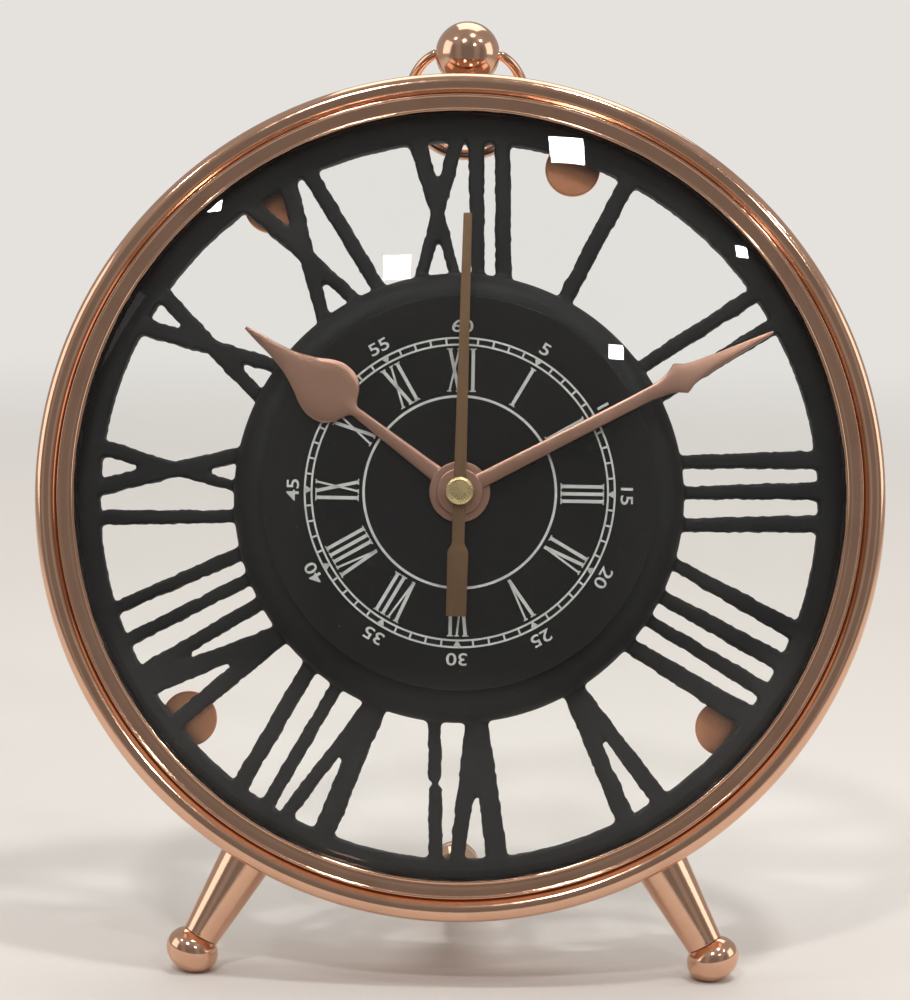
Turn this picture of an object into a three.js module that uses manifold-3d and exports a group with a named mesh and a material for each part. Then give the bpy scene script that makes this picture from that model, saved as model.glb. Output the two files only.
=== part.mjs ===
// A free-standing round table clock with a pierced numeral dial, in millimetres, +Z up.
// The front looks along -Y. The clock is built upright around its own axis, which is Y with the front
// of the bezel lip at y = 0, and then the whole is leaned back onto its three ball feet.
import * as THREE from "three";
import { mergeVertices } from "three/addons/utils/BufferGeometryUtils.js";
import Module from "manifold-3d";

const wasm = await Module();
wasm.setup();

// Driving dimensions of the stance
const leanAngle = THREE.MathUtils.degToRad(11);
const legSpreadAngle = THREE.MathUtils.degToRad(29.65);
const rearFootReach = 58;
const footFlatDepth = 0.5;

// Clearances
const fit = 0.15;
const seat = 0.2;
const overrun = 2;

// Driving dimensions of the case
const bezelRadius = 76;
const bezelBeadRadius = 2.05;
const bezelBeadDepth = 3;
const bezelCrestInset = 0.45;
const bezelValleyDepth = 0.7;
const bezelSkirtLap = 2.5;
const bezelBandWidth = 7.4;
const lipRadius = bezelRadius - bezelBandWidth;
const lipFace = 0.5;
const lipDepth = 0.9;
const glassLap = 1.4;
const glassThickness = 1.4;
const glassRise = 17;
const glassEdgeGap = 0.65;
const retainerThickness = 2.4;
const drumWall = 2.5;
const drumDepth = 16;
const drumClearInBezel = 0.2;
const bezelSkirtWall = 0.9;
const bezelSkirtRelief = 0.25;
const ledgeWidth = 2.4;
const ledgeThickness = 1.2;

// Driving dimensions of the pierced dial and its clips
const dialThickness = 3.5;
const dialEdgeClear = 0.4;
const dialRimShow = 4;
const openingOuterRadius = lipRadius - dialRimShow;
const hubWall = 2;
const hubMovementGap = 0.873;
const hubRise = 5.6;
const hubShoulderWidth = 4.9;
const hubBossRadius = 12;
const hubBossHeight = 2;
const discEdgeGap = 0.5;
const discThickness = 1.2;
const clipRadius = 5;
const clipInset = 1.3;
const clipArmWidth = 6;
const clipThickness = 1.2;
const clipScrewHeadRadius = 1.9;
const clipScrewHeadHeight = 1.1;
const clipScrewRadius = 1.1;
const clipScrewDepth = 2;

// Driving dimensions of the legs, feet, knob and bail
const legTopRadius = 5;
const legBottomRadius = 3.375;
const footReach = 20.75;
const footRadius = 4.9;
const footHalfHeight = 4;
const footSeamGap = 0.25;
const legEdgeMargin = 2;
const spigotRadius = 1.6;
const spigotLength = 3;
const studRadius = 2;
const studLength = 11;
const studEndClear = 0.5;
const nutAcrossRadius = 3.8;
const nutHeight = 2;
const rearBossRadius = 4.9;
const rearBossLength = 6;
const knobRadius = 6;
const knobSeatGap = 0.35;
const knobBeadRadius = 3.3;
const knobBeadHeight = 1.5;
const bailWireTopRadius = 0.9;
const bailWireBottomRadius = 1.2;
const bailKnobClear = 0.322;
const bailStraightShare = 0.58;
const bailLength = 22.8;
const bailHoleClear = 0.4;
const bailRestGap = 0.3;

// Driving dimensions of the hands
const hourHandAngle = THREE.MathUtils.degToRad(306.6);
const minuteHandAngle = THREE.MathUtils.degToRad(61.9);
const secondHandAngle = THREE.MathUtils.degToRad(0.4);
const hourHandInset = 16.8;
const hourHandSpadeWidth = 11.2;
const hourHandThickness = 0.6;
const minuteHandInset = 2;
const minuteHandBarbWidth = 5.9;
const minuteHandHubRadius = 4.07;
const minuteHandThickness = 0.6;
const secondHandInset = 15.3;
const secondHandWidth = 2.2;
const secondHandTipWidth = 1.5;
const secondHandTail = 22;
const secondHandWeightWidth = 3.65;
const secondHandWeightLength = 12;
const secondHandThickness = 0.5;
const handGap = 0.4;
const handGlassGap = 0.55;
const minuteHandBendStart = 36;
const capRadius = 2.46;
const capThickness = 1.2;
const capDome = 0.5;
const capBevelShare = 0.8;
const capDomeShare = 1 / 3;

// Driving dimensions of the movement
const movementCorner = 5;
const movementWall = 1.2;
const movementDepth = 16;
const movementCoverThickness = 1.2;
const washerRadius = 8;
const washerThickness = 0.7;
const secondArborRadius = 0.7;
const tubeClear = 0.2;
const minuteTubeWall = 1;
const hourTubeWall = 0.85;
const bushWall = 0.85;
const centreNutWall = 1.2;
const minuteTubeRadius = secondArborRadius + tubeClear + minuteTubeWall;
const hourTubeRadius = minuteTubeRadius + tubeClear + hourTubeWall;
const bushRadius = hourTubeRadius + tubeClear + bushWall;
const centreNutRadius = bushRadius + centreNutWall;
const hourHandHubRadius = centreNutRadius + seat;
const centreNutHeight = 1.2;
const arborRadius = 0.6;
const setShaftRadius = 1.2;
const rotorMagnetRadius = 2.4;
const postRadius = 1.8;
const wheelThickness = 0.9;
const wheelPitch = 1.3;
const wheelStart = 0.5;
const bridgeThickness = 1;
const cellRadius = 7.25;
const cellLength = 50.5;
const cellCapRadius = 2.75;
const cellCapLength = 1.2;
const contactThickness = 0.5;
const contactSpace = 0.85;
const movementSize = cellLength + 2 * (seat + contactThickness + contactSpace + movementWall);
const setKnobRadius = 4.5;
const setKnobHeight = 2.6;
const setKnobFlutes = 16;
const setKnobFluteDepth = 0.15;
const coilRadius = 3;
const coilLength = 15;
const coreWidth = 2;
const coreThickness = 1;
const statorThickness = 0.8;
const statorRingRadius = 3.6;
const boardThickness = 1;
const boardWidth = 17;
const boardHeight = 14;
const boardCorner = 3.8;
const crystalRadius = 1;
const crystalLength = 6;

// Wheel train: modules, teeth, and the direction from each arbor to the next
const fastModule = 0.45;
const centreModule = 0.44;
const motionModule = 0.48;
const rotorTeeth = 6;
const fifthTeeth = 30;
const fifthPinionTeeth = 6;
const secondsTeeth = 36;
const secondsPinionTeeth = 6;
const thirdTeeth = 48;
const thirdPinionTeeth = 6;
const centreTeeth = 45;
const cannonTeeth = 10;
const motionTeeth = 30;
const motionPinionTeeth = 8;
const hourTeeth = 32;
const setPinionTeeth = 10;
const motionDirection = 0;
const setDirection = 0;
const thirdDirection = THREE.MathUtils.degToRad(110);
const fifthDirection = THREE.MathUtils.degToRad(185);
const rotorDirection = THREE.MathUtils.degToRad(150);
const toothTipShare = 0.85;
const toothRootShare = 1.15;
const toothTipWidthShare = 0.1;
const toothRootWidthShare = 0.27;

// Numbers of facets
const largeSteps = 60;
const mediumSteps = 40;
const smallSteps = 20;
const tinySteps = 10;

// Materials
const metal = (color, roughness) => new THREE.MeshStandardMaterial({ color, roughness, metalness: 1 });
const plain = (color, roughness) => new THREE.MeshStandardMaterial({ color, roughness, metalness: 0 });
const copper = metal(0xc08468, 0.18);
const satinCopper = metal(0xb4826c, 0.42);
const brass = metal(0xc9b06a, 0.3);
const steel = metal(0xb9bcbf, 0.35);
const blackCast = plain(0x141414, 0.6);
const blackGloss = plain(0x0b0b0c, 0.12);
const blackPlastic = plain(0x1c1c1e, 0.5);
const whitePlastic = plain(0xe6e3da, 0.45);
const rubber = plain(0x202020, 0.8);
const greenBoard = plain(0x2f5a3c, 0.5);
const windingCopper = metal(0xb06a3c, 0.4);
const cellSleeve = plain(0x3b3f45, 0.35);
const glass = new THREE.MeshStandardMaterial({
  color: 0xf2f6f5,
  roughness: 0.03,
  metalness: 0,
  transparent: true,
  opacity: 0.2,
});

// A closed solid of a geometry, with shared vertices merged
function toSolid(geometry) {
  const bare = geometry.index ? geometry.toNonIndexed() : geometry.clone();
  bare.deleteAttribute("normal");
  bare.deleteAttribute("uv");
  const merged = mergeVertices(bare);
  const corners = merged.index.array;
  const triVerts = [];
  for (let i = 0; i < corners.length; i += 3) {
    const [a, b, c] = [corners[i], corners[i + 1], corners[i + 2]];
    if (a !== b && b !== c && a !== c) triVerts.push(a, b, c);
  }
  return new wasm.Manifold(
    new wasm.Mesh({
      numProp: 3,
      vertProperties: merged.attributes.position.array,
      triVerts: new Uint32Array(triVerts),
    }),
  );
}

// The geometry of a solid
function toGeometry(solid) {
  const mesh = solid.getMesh();
  return new THREE.BufferGeometry()
    .setAttribute("position", new THREE.BufferAttribute(mesh.vertProperties, 3))
    .setIndex(new THREE.BufferAttribute(mesh.triVerts, 1));
}

// One solid out of overlapping geometries
function join(first, ...others) {
  return toGeometry(others.reduce((solid, other) => solid.add(toSolid(other)), toSolid(first)));
}

// A geometry with others cut out of it
function cut(first, ...tools) {
  return toGeometry(tools.reduce((solid, tool) => solid.subtract(toSolid(tool)), toSolid(first)));
}

// A body turned around Y from a closed outline of [radius, y] points
function revolve(outline, steps) {
  const points = outline.map(([radius, y]) => new THREE.Vector2(radius, y));
  if (THREE.ShapeUtils.area(points) < 0) points.reverse();
  points.push(points[0].clone());
  return new THREE.LatheGeometry(points, steps);
}

// A flat ring around Y between two radii and two depths
function ringBody(inner, outer, front, back, steps) {
  return revolve(
    [
      [inner, front],
      [outer, front],
      [outer, back],
      [inner, back],
    ],
    steps,
  );
}

// A round rod around Y between two depths
function rod(radius, front, back, steps) {
  return ringBody(0, radius, front, back, steps);
}

// A round rod between two points
function rodBetween(radius, from, to, steps) {
  const along = new THREE.Vector3().subVectors(to, from);
  const body = rod(radius, 0, along.length(), steps);
  const turn = new THREE.Quaternion().setFromUnitVectors(
    new THREE.Vector3(0, 1, 0),
    along.clone().normalize(),
  );
  return body.applyQuaternion(turn).translate(from.x, from.y, from.z);
}

// A plate between two depths, from a shape whose x and y become X and Z
function plate(shape, front, back, curveSegments = smallSteps) {
  const body = new THREE.ExtrudeGeometry(shape, {
    depth: back - front,
    bevelEnabled: false,
    curveSegments,
  });
  return body.rotateX(Math.PI / 2).translate(0, back, 0);
}

// A shape through a list of [x, z] points
function outlineShape(points) {
  return new THREE.Shape(points.map(([x, z]) => new THREE.Vector2(x, z)));
}

// A point at a clock angle, clockwise from 12
function atClock(radius, angle) {
  return [radius * Math.sin(angle), radius * Math.cos(angle)];
}

// A rectangle with rounded corners
function roundedRectangle(left, bottom, right, top, corner) {
  const shape = new THREE.Shape();
  shape.moveTo(left + corner, bottom);
  shape.lineTo(right - corner, bottom);
  shape.absarc(right - corner, bottom + corner, corner, -Math.PI / 2, 0);
  shape.lineTo(right, top - corner);
  shape.absarc(right - corner, top - corner, corner, 0, Math.PI / 2);
  shape.lineTo(left + corner, top);
  shape.absarc(left + corner, top - corner, corner, Math.PI / 2, Math.PI);
  shape.lineTo(left, bottom + corner);
  shape.absarc(left + corner, bottom + corner, corner, Math.PI, (3 * Math.PI) / 2);
  return shape;
}

// A symmetric outline along +Z from [distance, half width] pairs
function bladeShape(halves) {
  const right = halves.map(([distance, half]) => [half, distance]);
  const left = halves.map(([distance, half]) => [-half, distance]).reverse();
  return outlineShape([...right, ...left]);
}

const clock = new THREE.Group();

// Adds one named piece to a group
function addPiece(name, geometry, material, parent = clock) {
  const piece = new THREE.Mesh(geometry, material);
  piece.name = name;
  parent.add(piece);
  return piece;
}

// Radii that follow from the case, the movement behind the hub and the knob on its neck
const movementReach = (movementSize / 2 - movementCorner) * Math.SQRT2 + movementCorner;
const openingInnerRadius = movementReach + hubMovementGap + hubWall;
const discRadius = openingInnerRadius - hubShoulderWidth - discEdgeGap;
const clipReach = openingOuterRadius - clipInset;
const hourHandLength = openingOuterRadius - hourHandInset;
const minuteHandLength = openingOuterRadius - minuteHandInset;
const secondHandLength = openingOuterRadius - secondHandInset;

// Depths shared by the case pieces
const beadCentreRadius = bezelRadius - bezelBeadRadius;
const crestRadius = beadCentreRadius - bezelBeadRadius - bezelCrestInset;
const rebateRadius = lipRadius + glassLap;
const glassRadius = rebateRadius - seat;
const glassEdgeFront = lipDepth + glassEdgeGap;
const glassEdgeBack = glassEdgeFront + glassThickness;
const retainerFront = glassEdgeBack + seat;
const retainerBack = retainerFront + retainerThickness;
const dialFront = retainerBack + seat;
const dialBack = dialFront + dialThickness;
const drumRadius = bezelRadius - bezelSkirtWall - drumClearInBezel - bezelSkirtRelief;
const drumInnerRadius = drumRadius - drumWall;
const dialRadius = drumInnerRadius - dialEdgeClear;
const drumFront = dialFront;
const drumBack = drumFront + drumDepth;
const ledgeFront = dialBack + seat;
const ledgeBack = ledgeFront + ledgeThickness;
const clipFront = ledgeBack + seat;
const clipBack = clipFront + clipThickness;
const legY = drumBack - legTopRadius - legEdgeMargin;
const footCentreRadius = drumRadius + footReach;
const knobSeatDrop = Math.sqrt(knobRadius ** 2 - (studRadius + fit) ** 2);
const knobCentreRadius = drumRadius + seat + knobBeadHeight + knobSeatGap + knobSeatDrop;
const bailHalfWidth = (knobRadius + bailKnobClear) / bailStraightShare;

// The sphere of the convex glass, and the depth of its inner face at a radius
const glassSphereRadius = (glassRadius ** 2 + glassRise ** 2) / (2 * glassRise);
const glassCentreY = glassEdgeFront - glassRise + glassSphereRadius;
const glassInnerRadius = glassSphereRadius - glassThickness;
const glassInnerY = (radius) => glassCentreY - Math.sqrt(glassInnerRadius ** 2 - radius ** 2);

function makeBezel() {
  const bead = [];
  const arcSteps = 6;
  for (let i = 0; i <= arcSteps; i++) {
    const turn = (Math.PI * i) / arcSteps;
    bead.push([
      beadCentreRadius + bezelBeadRadius * Math.cos(turn),
      bezelBeadDepth - bezelBeadRadius * Math.sin(turn),
    ]);
  }
  const crestTop = bezelBeadDepth - bezelBeadRadius - lipFace;
  const bandInner = lipRadius + lipFace;
  const outline = [
    [bezelRadius, drumFront + bezelSkirtLap],
    ...bead.slice(0, -1),
    [beadCentreRadius - bezelBeadRadius, crestTop + bezelBeadRadius / 2],
    [crestRadius, crestTop],
    [bandInner, crestTop + bezelValleyDepth],
    [bandInner, 0],
    [lipRadius, 0],
    [lipRadius, lipDepth],
    [rebateRadius, lipDepth],
    [rebateRadius, retainerBack],
    [drumRadius + drumClearInBezel, retainerBack],
    [drumRadius + drumClearInBezel, drumFront + bezelSkirtLap],
  ];
  addPiece("bezel_ring", revolve(outline, largeSteps), copper);
}

function makeGlass() {
  const arcSteps = 6;
  const outer = [];
  const inner = [];
  for (let i = 0; i <= arcSteps; i++) {
    const r = (glassRadius * i) / arcSteps;
    outer.push([r, glassCentreY - Math.sqrt(glassSphereRadius ** 2 - r ** 2)]);
    inner.push([r, glassInnerY(r)]);
  }
  addPiece("dome_glass", revolve([...outer, ...inner.reverse()], mediumSteps), glass);
  addPiece(
    "glass_retainer",
    ringBody(lipRadius + fit, glassRadius, retainerFront, retainerBack, mediumSteps),
    blackPlastic,
  );
}

// Where the legs and the knob stand on the drum, in the clock's own frame
const legTurns = { left: legSpreadAngle, right: -legSpreadAngle };
const legLocal = (turn, radius) =>
  new THREE.Vector3(-radius * Math.sin(turn), legY, -radius * Math.cos(turn));
const rearBossCentreRadius = drumRadius - rearBossRadius - drumWall / 2;

// Feet and ground, worked out in the leaned frame
const lean = new THREE.Matrix4().makeRotationX(-leanAngle);
const unlean = lean.clone().invert();
const down = new THREE.Vector3(0, 0, -1).applyMatrix4(unlean);

// How far a ball foot reaches below its centre when its leg points along a direction
function footDrop(direction) {
  const along = direction.dot(down) ** 2;
  return Math.sqrt(footHalfHeight ** 2 * along + footRadius ** 2 * (1 - along));
}

const frontFoot = legLocal(legTurns.left, footCentreRadius);
const frontLegDirection = frontFoot.clone().setY(0).normalize();
const frontFootWorld = frontFoot.clone().applyMatrix4(lean);
const groundZ = frontFootWorld.z - footDrop(frontLegDirection) + footFlatDepth;
const rearBossBack = new THREE.Vector3(0, drumBack + rearBossLength / 2, -rearBossCentreRadius);

// The rear foot's centre, with its leg's own slope in its drop
function rearFootCentre() {
  let direction = new THREE.Vector3(0, 1, 0);
  let centre = rearBossBack.clone();
  for (let i = 0; i < tinySteps; i++) {
    const world = new THREE.Vector3(
      0,
      frontFootWorld.y + rearFootReach,
      groundZ + footDrop(direction) - footFlatDepth,
    );
    centre = world.applyMatrix4(unlean);
    direction = centre.clone().sub(rearBossBack).normalize();
  }
  return centre;
}
const rearFoot = rearFootCentre();
const rearLegDirection = rearFoot.clone().sub(rearBossBack).normalize();

// A copy of a body modelled along +Y, turned to a direction and moved to a point
function aimed(body, direction, origin) {
  const turn = new THREE.Quaternion().setFromUnitVectors(new THREE.Vector3(0, 1, 0), direction);
  return body.applyQuaternion(turn).translate(origin.x, origin.y, origin.z);
}

function makeDrum() {
  const wall = ringBody(drumInnerRadius, drumRadius, drumFront, drumBack, largeSteps);
  const ledge = ringBody(
    drumInnerRadius - ledgeWidth,
    drumInnerRadius + drumWall / 2,
    ledgeFront,
    ledgeBack,
    largeSteps,
  );
  const boss = rodBetween(
    rearBossRadius,
    rearBossBack.clone().addScaledVector(rearLegDirection, -rearBossLength),
    rearBossBack,
    smallSteps,
  );
  const studHoles = Object.values(legTurns).map((turn) =>
    rodBetween(
      studRadius + fit,
      legLocal(turn, drumInnerRadius - overrun),
      legLocal(turn, drumRadius + overrun),
      tinySteps,
    ),
  );
  const knobHole = rodBetween(
    studRadius + fit,
    new THREE.Vector3(0, legY, drumInnerRadius - overrun),
    new THREE.Vector3(0, legY, drumRadius + overrun),
    tinySteps,
  );
  const rearHole = rodBetween(
    studRadius + fit,
    rearBossBack.clone().addScaledVector(rearLegDirection, -rearBossLength - overrun),
    rearBossBack.clone().addScaledVector(rearLegDirection, overrun),
    tinySteps,
  );
  addPiece("case_ring", cut(join(wall, ledge, boss), ...studHoles, knobHole, rearHole), copper);
}

// Pierced dial: the strokes of the twelve numerals, each with its two clock angles at the outer
// ends and its two at the inner ends, in degrees
const numeralStrokes = {
  XII: [
    [-9.0, -6.1, -3.2, -0.6],
    [-2.4, -0.2, -11.8, -8.6],
    [1.0, 3.9, 2.3, 5.6],
    [4.9, 7.7, 8.5, 12.9],
  ],
  I: [[25.7, 28.5, 25.3, 29.2]],
  II: [
    [53.3, 55.8, 51.8, 55.1],
    [59.1, 61.7, 60.4, 63.8],
  ],
  III: [
    [81.6, 84.4, 78.3, 81.6],
    [86.6, 89.4, 86.3, 89.4],
    [91.8, 94.6, 94.4, 97.8],
  ],
  IIII: [
    [109.2, 112.2, 104.6, 107.8],
    [114.7, 117.7, 113.4, 116.8],
    [120.1, 122.7, 120.5, 123.5],
    [124.5, 128.3, 128.1, 131.9],
  ],
  V: [
    [144.0, 146.8, 145.6, 148.7],
    [150.2, 153.2, 148.1, 151.2],
  ],
  VI: [
    [171.3, 174.2, 171.1, 174.6],
    [177.4, 180.0, 173.8, 177.2],
    [181.4, 183.6, 182.8, 186.7],
  ],
  VII: [
    [198.9, 202.0, 197.8, 201.0],
    [206.6, 208.6, 200.6, 203.9],
    [209.8, 212.1, 210.2, 213.4],
    [214.9, 217.5, 218.3, 222.4],
  ],
  VIII: [
    [229.3, 231.9, 228.9, 232.1],
    [236.1, 239.4, 231.4, 234.4],
    [238.8, 241.2, 239.3, 242.7],
    [244.7, 246.7, 246.2, 249.4],
    [250.2, 252.1, 252.9, 256.4],
  ],
  IX: [
    [264.6, 267.0, 262.7, 265.9],
    [269.4, 272.1, 278.1, 282.0],
    [275.7, 278.3, 270.6, 273.2],
  ],
  X: [
    [296.2, 299.0, 303.1, 306.7],
    [302.2, 304.8, 294.1, 297.7],
  ],
  XI: [
    [322.2, 325.1, 329.9, 333.5],
    [329.5, 332.1, 320.8, 324.4],
    [333.2, 335.8, 336.4, 340.0],
  ],
};
const clipAngles = [18.0, 130.5, 229.6, 326.1].map(THREE.MathUtils.degToRad);
const clipScrewReach = (openingOuterRadius + drumInnerRadius - ledgeWidth) / 2;

// One straight numeral stroke, run into the rim and the hub at its ends
function strokeBody([outerStart, outerEnd, innerStart, innerEnd]) {
  const ends = [
    [openingOuterRadius, outerStart],
    [openingOuterRadius, outerEnd],
    [openingInnerRadius, innerEnd],
    [openingInnerRadius, innerStart],
  ].map(([radius, angle]) =>
    new THREE.Vector2(...atClock(radius, THREE.MathUtils.degToRad(angle))),
  );
  const grow = overrun / 2 / (openingOuterRadius - openingInnerRadius);
  const [a, b, c, d] = ends;
  const points = [
    a.clone().lerp(d, -grow),
    b.clone().lerp(c, -grow),
    c.clone().lerp(b, -grow),
    d.clone().lerp(a, -grow),
  ];
  return plate(new THREE.Shape(points), dialFront, dialBack);
}

const hubFront = dialFront - hubRise;
const hubInside = hubFront + hubWall;
const hubBossBack = hubInside + hubBossHeight;
const discBack = hubFront - seat / 2;
const discFront = discBack - discThickness;
const movementFront = hubBossBack + washerThickness + 2 * fit;

function makeDial() {
  const rim = ringBody(openingOuterRadius, dialRadius, dialFront, dialBack, largeSteps);
  const shoulder = [];
  const shoulderInside = [];
  const arcSteps = 3;
  for (let i = 0; i <= arcSteps; i++) {
    const turn = (Math.PI / 2) * (i / arcSteps);
    const inward = hubShoulderWidth * (1 - Math.cos(turn));
    shoulder.push([openingInnerRadius - inward, dialFront - hubRise * Math.sin(turn)]);
    shoulderInside.push([
      openingInnerRadius - hubWall - inward,
      dialFront - (hubRise - hubWall) * Math.sin(turn),
    ]);
  }
  const hub = revolve(
    [
      [openingInnerRadius, dialBack],
      ...shoulder,
      [bushRadius + seat, hubFront],
      [bushRadius + seat, hubBossBack],
      [hubBossRadius, hubBossBack],
      [hubBossRadius, hubInside],
      ...shoulderInside.reverse(),
      [openingInnerRadius - hubWall, dialBack],
    ],
    mediumSteps + smallSteps,
  );
  const strokes = Object.values(numeralStrokes).flat().map(strokeBody);
  const screwHoles = clipAngles.map((angle) => {
    const [x, z] = atClock(clipScrewReach, angle);
    return rod(clipScrewRadius + fit, dialBack - clipScrewDepth - seat, dialBack + overrun, tinySteps).translate(
      x,
      0,
      z,
    );
  });
  addPiece("skeleton_dial", cut(join(rim, hub, ...strokes), ...screwHoles), blackCast);
  addPiece(
    "centre_disc",
    ringBody(centreNutRadius + seat, discRadius, discFront, discBack, mediumSteps),
    blackGloss,
  );
}

function makeClips() {
  const armTop = drumInnerRadius - dialEdgeClear;
  clipAngles.forEach((angle, index) => {
    const holder = new THREE.Group();
    holder.rotation.y = angle;
    const round = rod(clipRadius, clipFront, clipBack, smallSteps).translate(0, 0, clipReach);
    const arm = plate(
      roundedRectangle(-clipArmWidth / 2, clipReach, clipArmWidth / 2, armTop, clipArmWidth / 6),
      clipFront,
      clipBack,
      3,
    );
    const hole = rod(clipScrewRadius + fit, clipFront - overrun, clipBack + overrun, tinySteps);
    const clip = cut(join(round, arm), hole.translate(0, 0, clipScrewReach));
    addPiece(`dial_clip_${index + 1}`, clip, copper, holder);
    const shank = rod(clipScrewRadius, dialBack - clipScrewDepth, clipBack + seat + fit, tinySteps);
    const head = rod(clipScrewHeadRadius, clipBack + seat, clipBack + seat + clipScrewHeadHeight, tinySteps);
    addPiece(
      `clip_screw_${index + 1}`,
      join(shank, head).translate(0, 0, clipScrewReach),
      steel,
      holder,
    );
    clock.add(holder);
  });
}

// A leg from its root to its ball foot, along +Y, with a spigot into the ball and a hole for its stud
function legBody(length) {
  const body = revolve(
    [
      [0, 0],
      [legTopRadius, 0],
      [legBottomRadius, length],
      [spigotRadius, length],
      [spigotRadius, length + spigotLength],
      [0, length + spigotLength],
    ],
    smallSteps,
  );
  return cut(body, rod(studRadius + fit, -overrun, studLength / 2 + seat, tinySteps));
}

// A ball foot around its own centre with its bore towards -Y
function footBody() {
  const outline = [];
  const arcSteps = 8;
  for (let i = 0; i <= arcSteps; i++) {
    const turn = (Math.PI * i) / arcSteps;
    outline.push([footRadius * Math.sin(turn), -footHalfHeight * Math.cos(turn)]);
  }
  outline[0][0] = 0;
  outline[arcSteps][0] = 0;
  const boreEnd = spigotLength + fit - footHalfHeight;
  return cut(
    revolve(outline, smallSteps),
    rod(spigotRadius + fit, -footHalfHeight - overrun, boreEnd, tinySteps),
  );
}

// The block below the ground plane, which cuts the standing flats of the balls
function groundBlock() {
  const size = 4 * footCentreRadius;
  return new THREE.BoxGeometry(size, size, size)
    .translate(0, 0, groundZ - size / 2)
    .applyMatrix4(unlean);
}

// A hexagonal ring around Y with a round bore
function hexRing(bore, acrossRadius, front, back) {
  const body = rod(acrossRadius, front, back, 6);
  return cut(body, rod(bore, front - overrun, back + overrun, smallSteps));
}

// A hexagonal nut around Y
function nutBody(front, bore) {
  return hexRing(bore, nutAcrossRadius, front, front + nutHeight);
}

function addLeg(side, root, direction, footCentre, nutStart) {
  const length = footCentre.distanceTo(root) - footHalfHeight - footSeamGap;
  addPiece(`${side}_leg`, aimed(legBody(length), direction, root), copper);
  addPiece(`${side}_foot`, cut(aimed(footBody(), direction, footCentre), groundBlock()), copper);
  const studStart = root.clone().addScaledVector(direction, -studLength / 2 - fit);
  const studEnd = root.clone().addScaledVector(direction, studLength / 2);
  addPiece(`${side}_leg_stud`, rodBetween(studRadius, studStart, studEnd, tinySteps), steel);
  if (nutStart === undefined) return;
  const nut = nutBody(-nutStart - nutHeight, studRadius + fit);
  addPiece(`${side}_leg_nut`, aimed(nut, direction, root), steel);
}

function makeLegs() {
  for (const [side, turn] of Object.entries(legTurns)) {
    const root = legLocal(turn, drumRadius + seat);
    const footCentre = legLocal(turn, footCentreRadius);
    const direction = footCentre.clone().sub(root).normalize();
    addLeg(side, root, direction, footCentre, drumWall + 2 * seat);
  }
  const rearRoot = rearBossBack.clone().addScaledVector(rearLegDirection, seat);
  addLeg("rear", rearRoot, rearLegDirection, rearFoot);
}

// Knob on top with its neck, stud and nut, modelled along +Y from the drum and turned upright
function makeKnob() {
  const up = new THREE.Vector3(0, 0, 1);
  const root = new THREE.Vector3(0, legY, drumRadius + seat);
  const centre = new THREE.Vector3(0, legY, knobCentreRadius);
  const ball = new THREE.SphereGeometry(knobRadius, smallSteps, smallSteps / 2).translate(
    centre.x,
    centre.y,
    centre.z,
  );
  const holeRadius = bailWireTopRadius + bailHoleClear;
  const crossHole = rodBetween(
    holeRadius,
    centre.clone().setX(-knobRadius - overrun),
    centre.clone().setX(knobRadius + overrun),
    tinySteps,
  );
  const studTop = knobCentreRadius - holeRadius - fit - studEndClear;
  const studHole = rodBetween(
    studRadius + fit,
    root.clone().setZ(drumRadius - overrun),
    root.clone().setZ(studTop + fit),
    tinySteps,
  );
  const collar = knobBeadHeight + seat * 2;
  const trim = rodBetween(
    knobRadius,
    root.clone().setZ(drumRadius - overrun),
    root.clone().setZ(drumRadius + collar),
    smallSteps,
  );
  addPiece("top_knob", cut(ball, crossHole, studHole, trim), copper);
  const bead = revolve(
    [
      [studRadius + fit, 0],
      [knobBeadRadius - knobBeadHeight / 3, 0],
      [knobBeadRadius, knobBeadHeight / 3],
      [knobBeadRadius, (2 * knobBeadHeight) / 3],
      [knobBeadRadius - knobBeadHeight / 3, knobBeadHeight],
      [studRadius + fit, knobBeadHeight],
    ],
    smallSteps,
  );
  addPiece("knob_neck", aimed(bead, up, root), copper);
  const studBottom = drumInnerRadius - nutHeight - 2 * seat - studEndClear;
  addPiece(
    "knob_stud",
    rodBetween(studRadius, root.clone().setZ(studBottom), root.clone().setZ(studTop), tinySteps),
    steel,
  );
  const nut = nutBody(-drumWall - 2 * seat - nutHeight, studRadius + fit);
  addPiece("knob_nut", aimed(nut, up, root), steel);
}

// A closed wire loop through points, with its own radius at each
function wireLoop(points, radii, sides) {
  const position = [];
  const index = [];
  const count = points.length;
  points.forEach((point, i) => {
    const before = points[(i + count - 1) % count];
    const after = points[(i + 1) % count];
    const along = after.clone().sub(before).normalize();
    const side = new THREE.Vector3(0, 1, 0);
    const outward = new THREE.Vector3().crossVectors(along, side);
    for (let j = 0; j < sides; j++) {
      const turn = (2 * Math.PI * j) / sides;
      const corner = point
        .clone()
        .addScaledVector(outward, radii[i] * Math.cos(turn))
        .addScaledVector(side, radii[i] * Math.sin(turn));
      position.push(corner.x, corner.y, corner.z);
      const next = ((i + 1) % count) * sides;
      const here = i * sides;
      const k = (j + 1) % sides;
      index.push(here + j, next + j, here + k, here + k, next + j, next + k);
    }
  });
  return new THREE.BufferGeometry()
    .setAttribute("position", new THREE.BufferAttribute(new Float32Array(position), 3))
    .setIndex(index);
}

// The bail hangs in its own XZ plane from the knob's cross hole, and leans on the drum's rear edge
const bailOutlineShares = [
  [0, 0],
  [0.3, 0],
  [bailStraightShare, 0],
  [0.76, -0.035],
  [0.9, -0.12],
  [0.975, -0.24],
  [1, -0.38],
  [0.975, -0.53],
  [0.885, -0.68],
  [0.735, -0.815],
  [0.53, -0.92],
  [0.28, -0.98],
  [0, -1],
];

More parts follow.
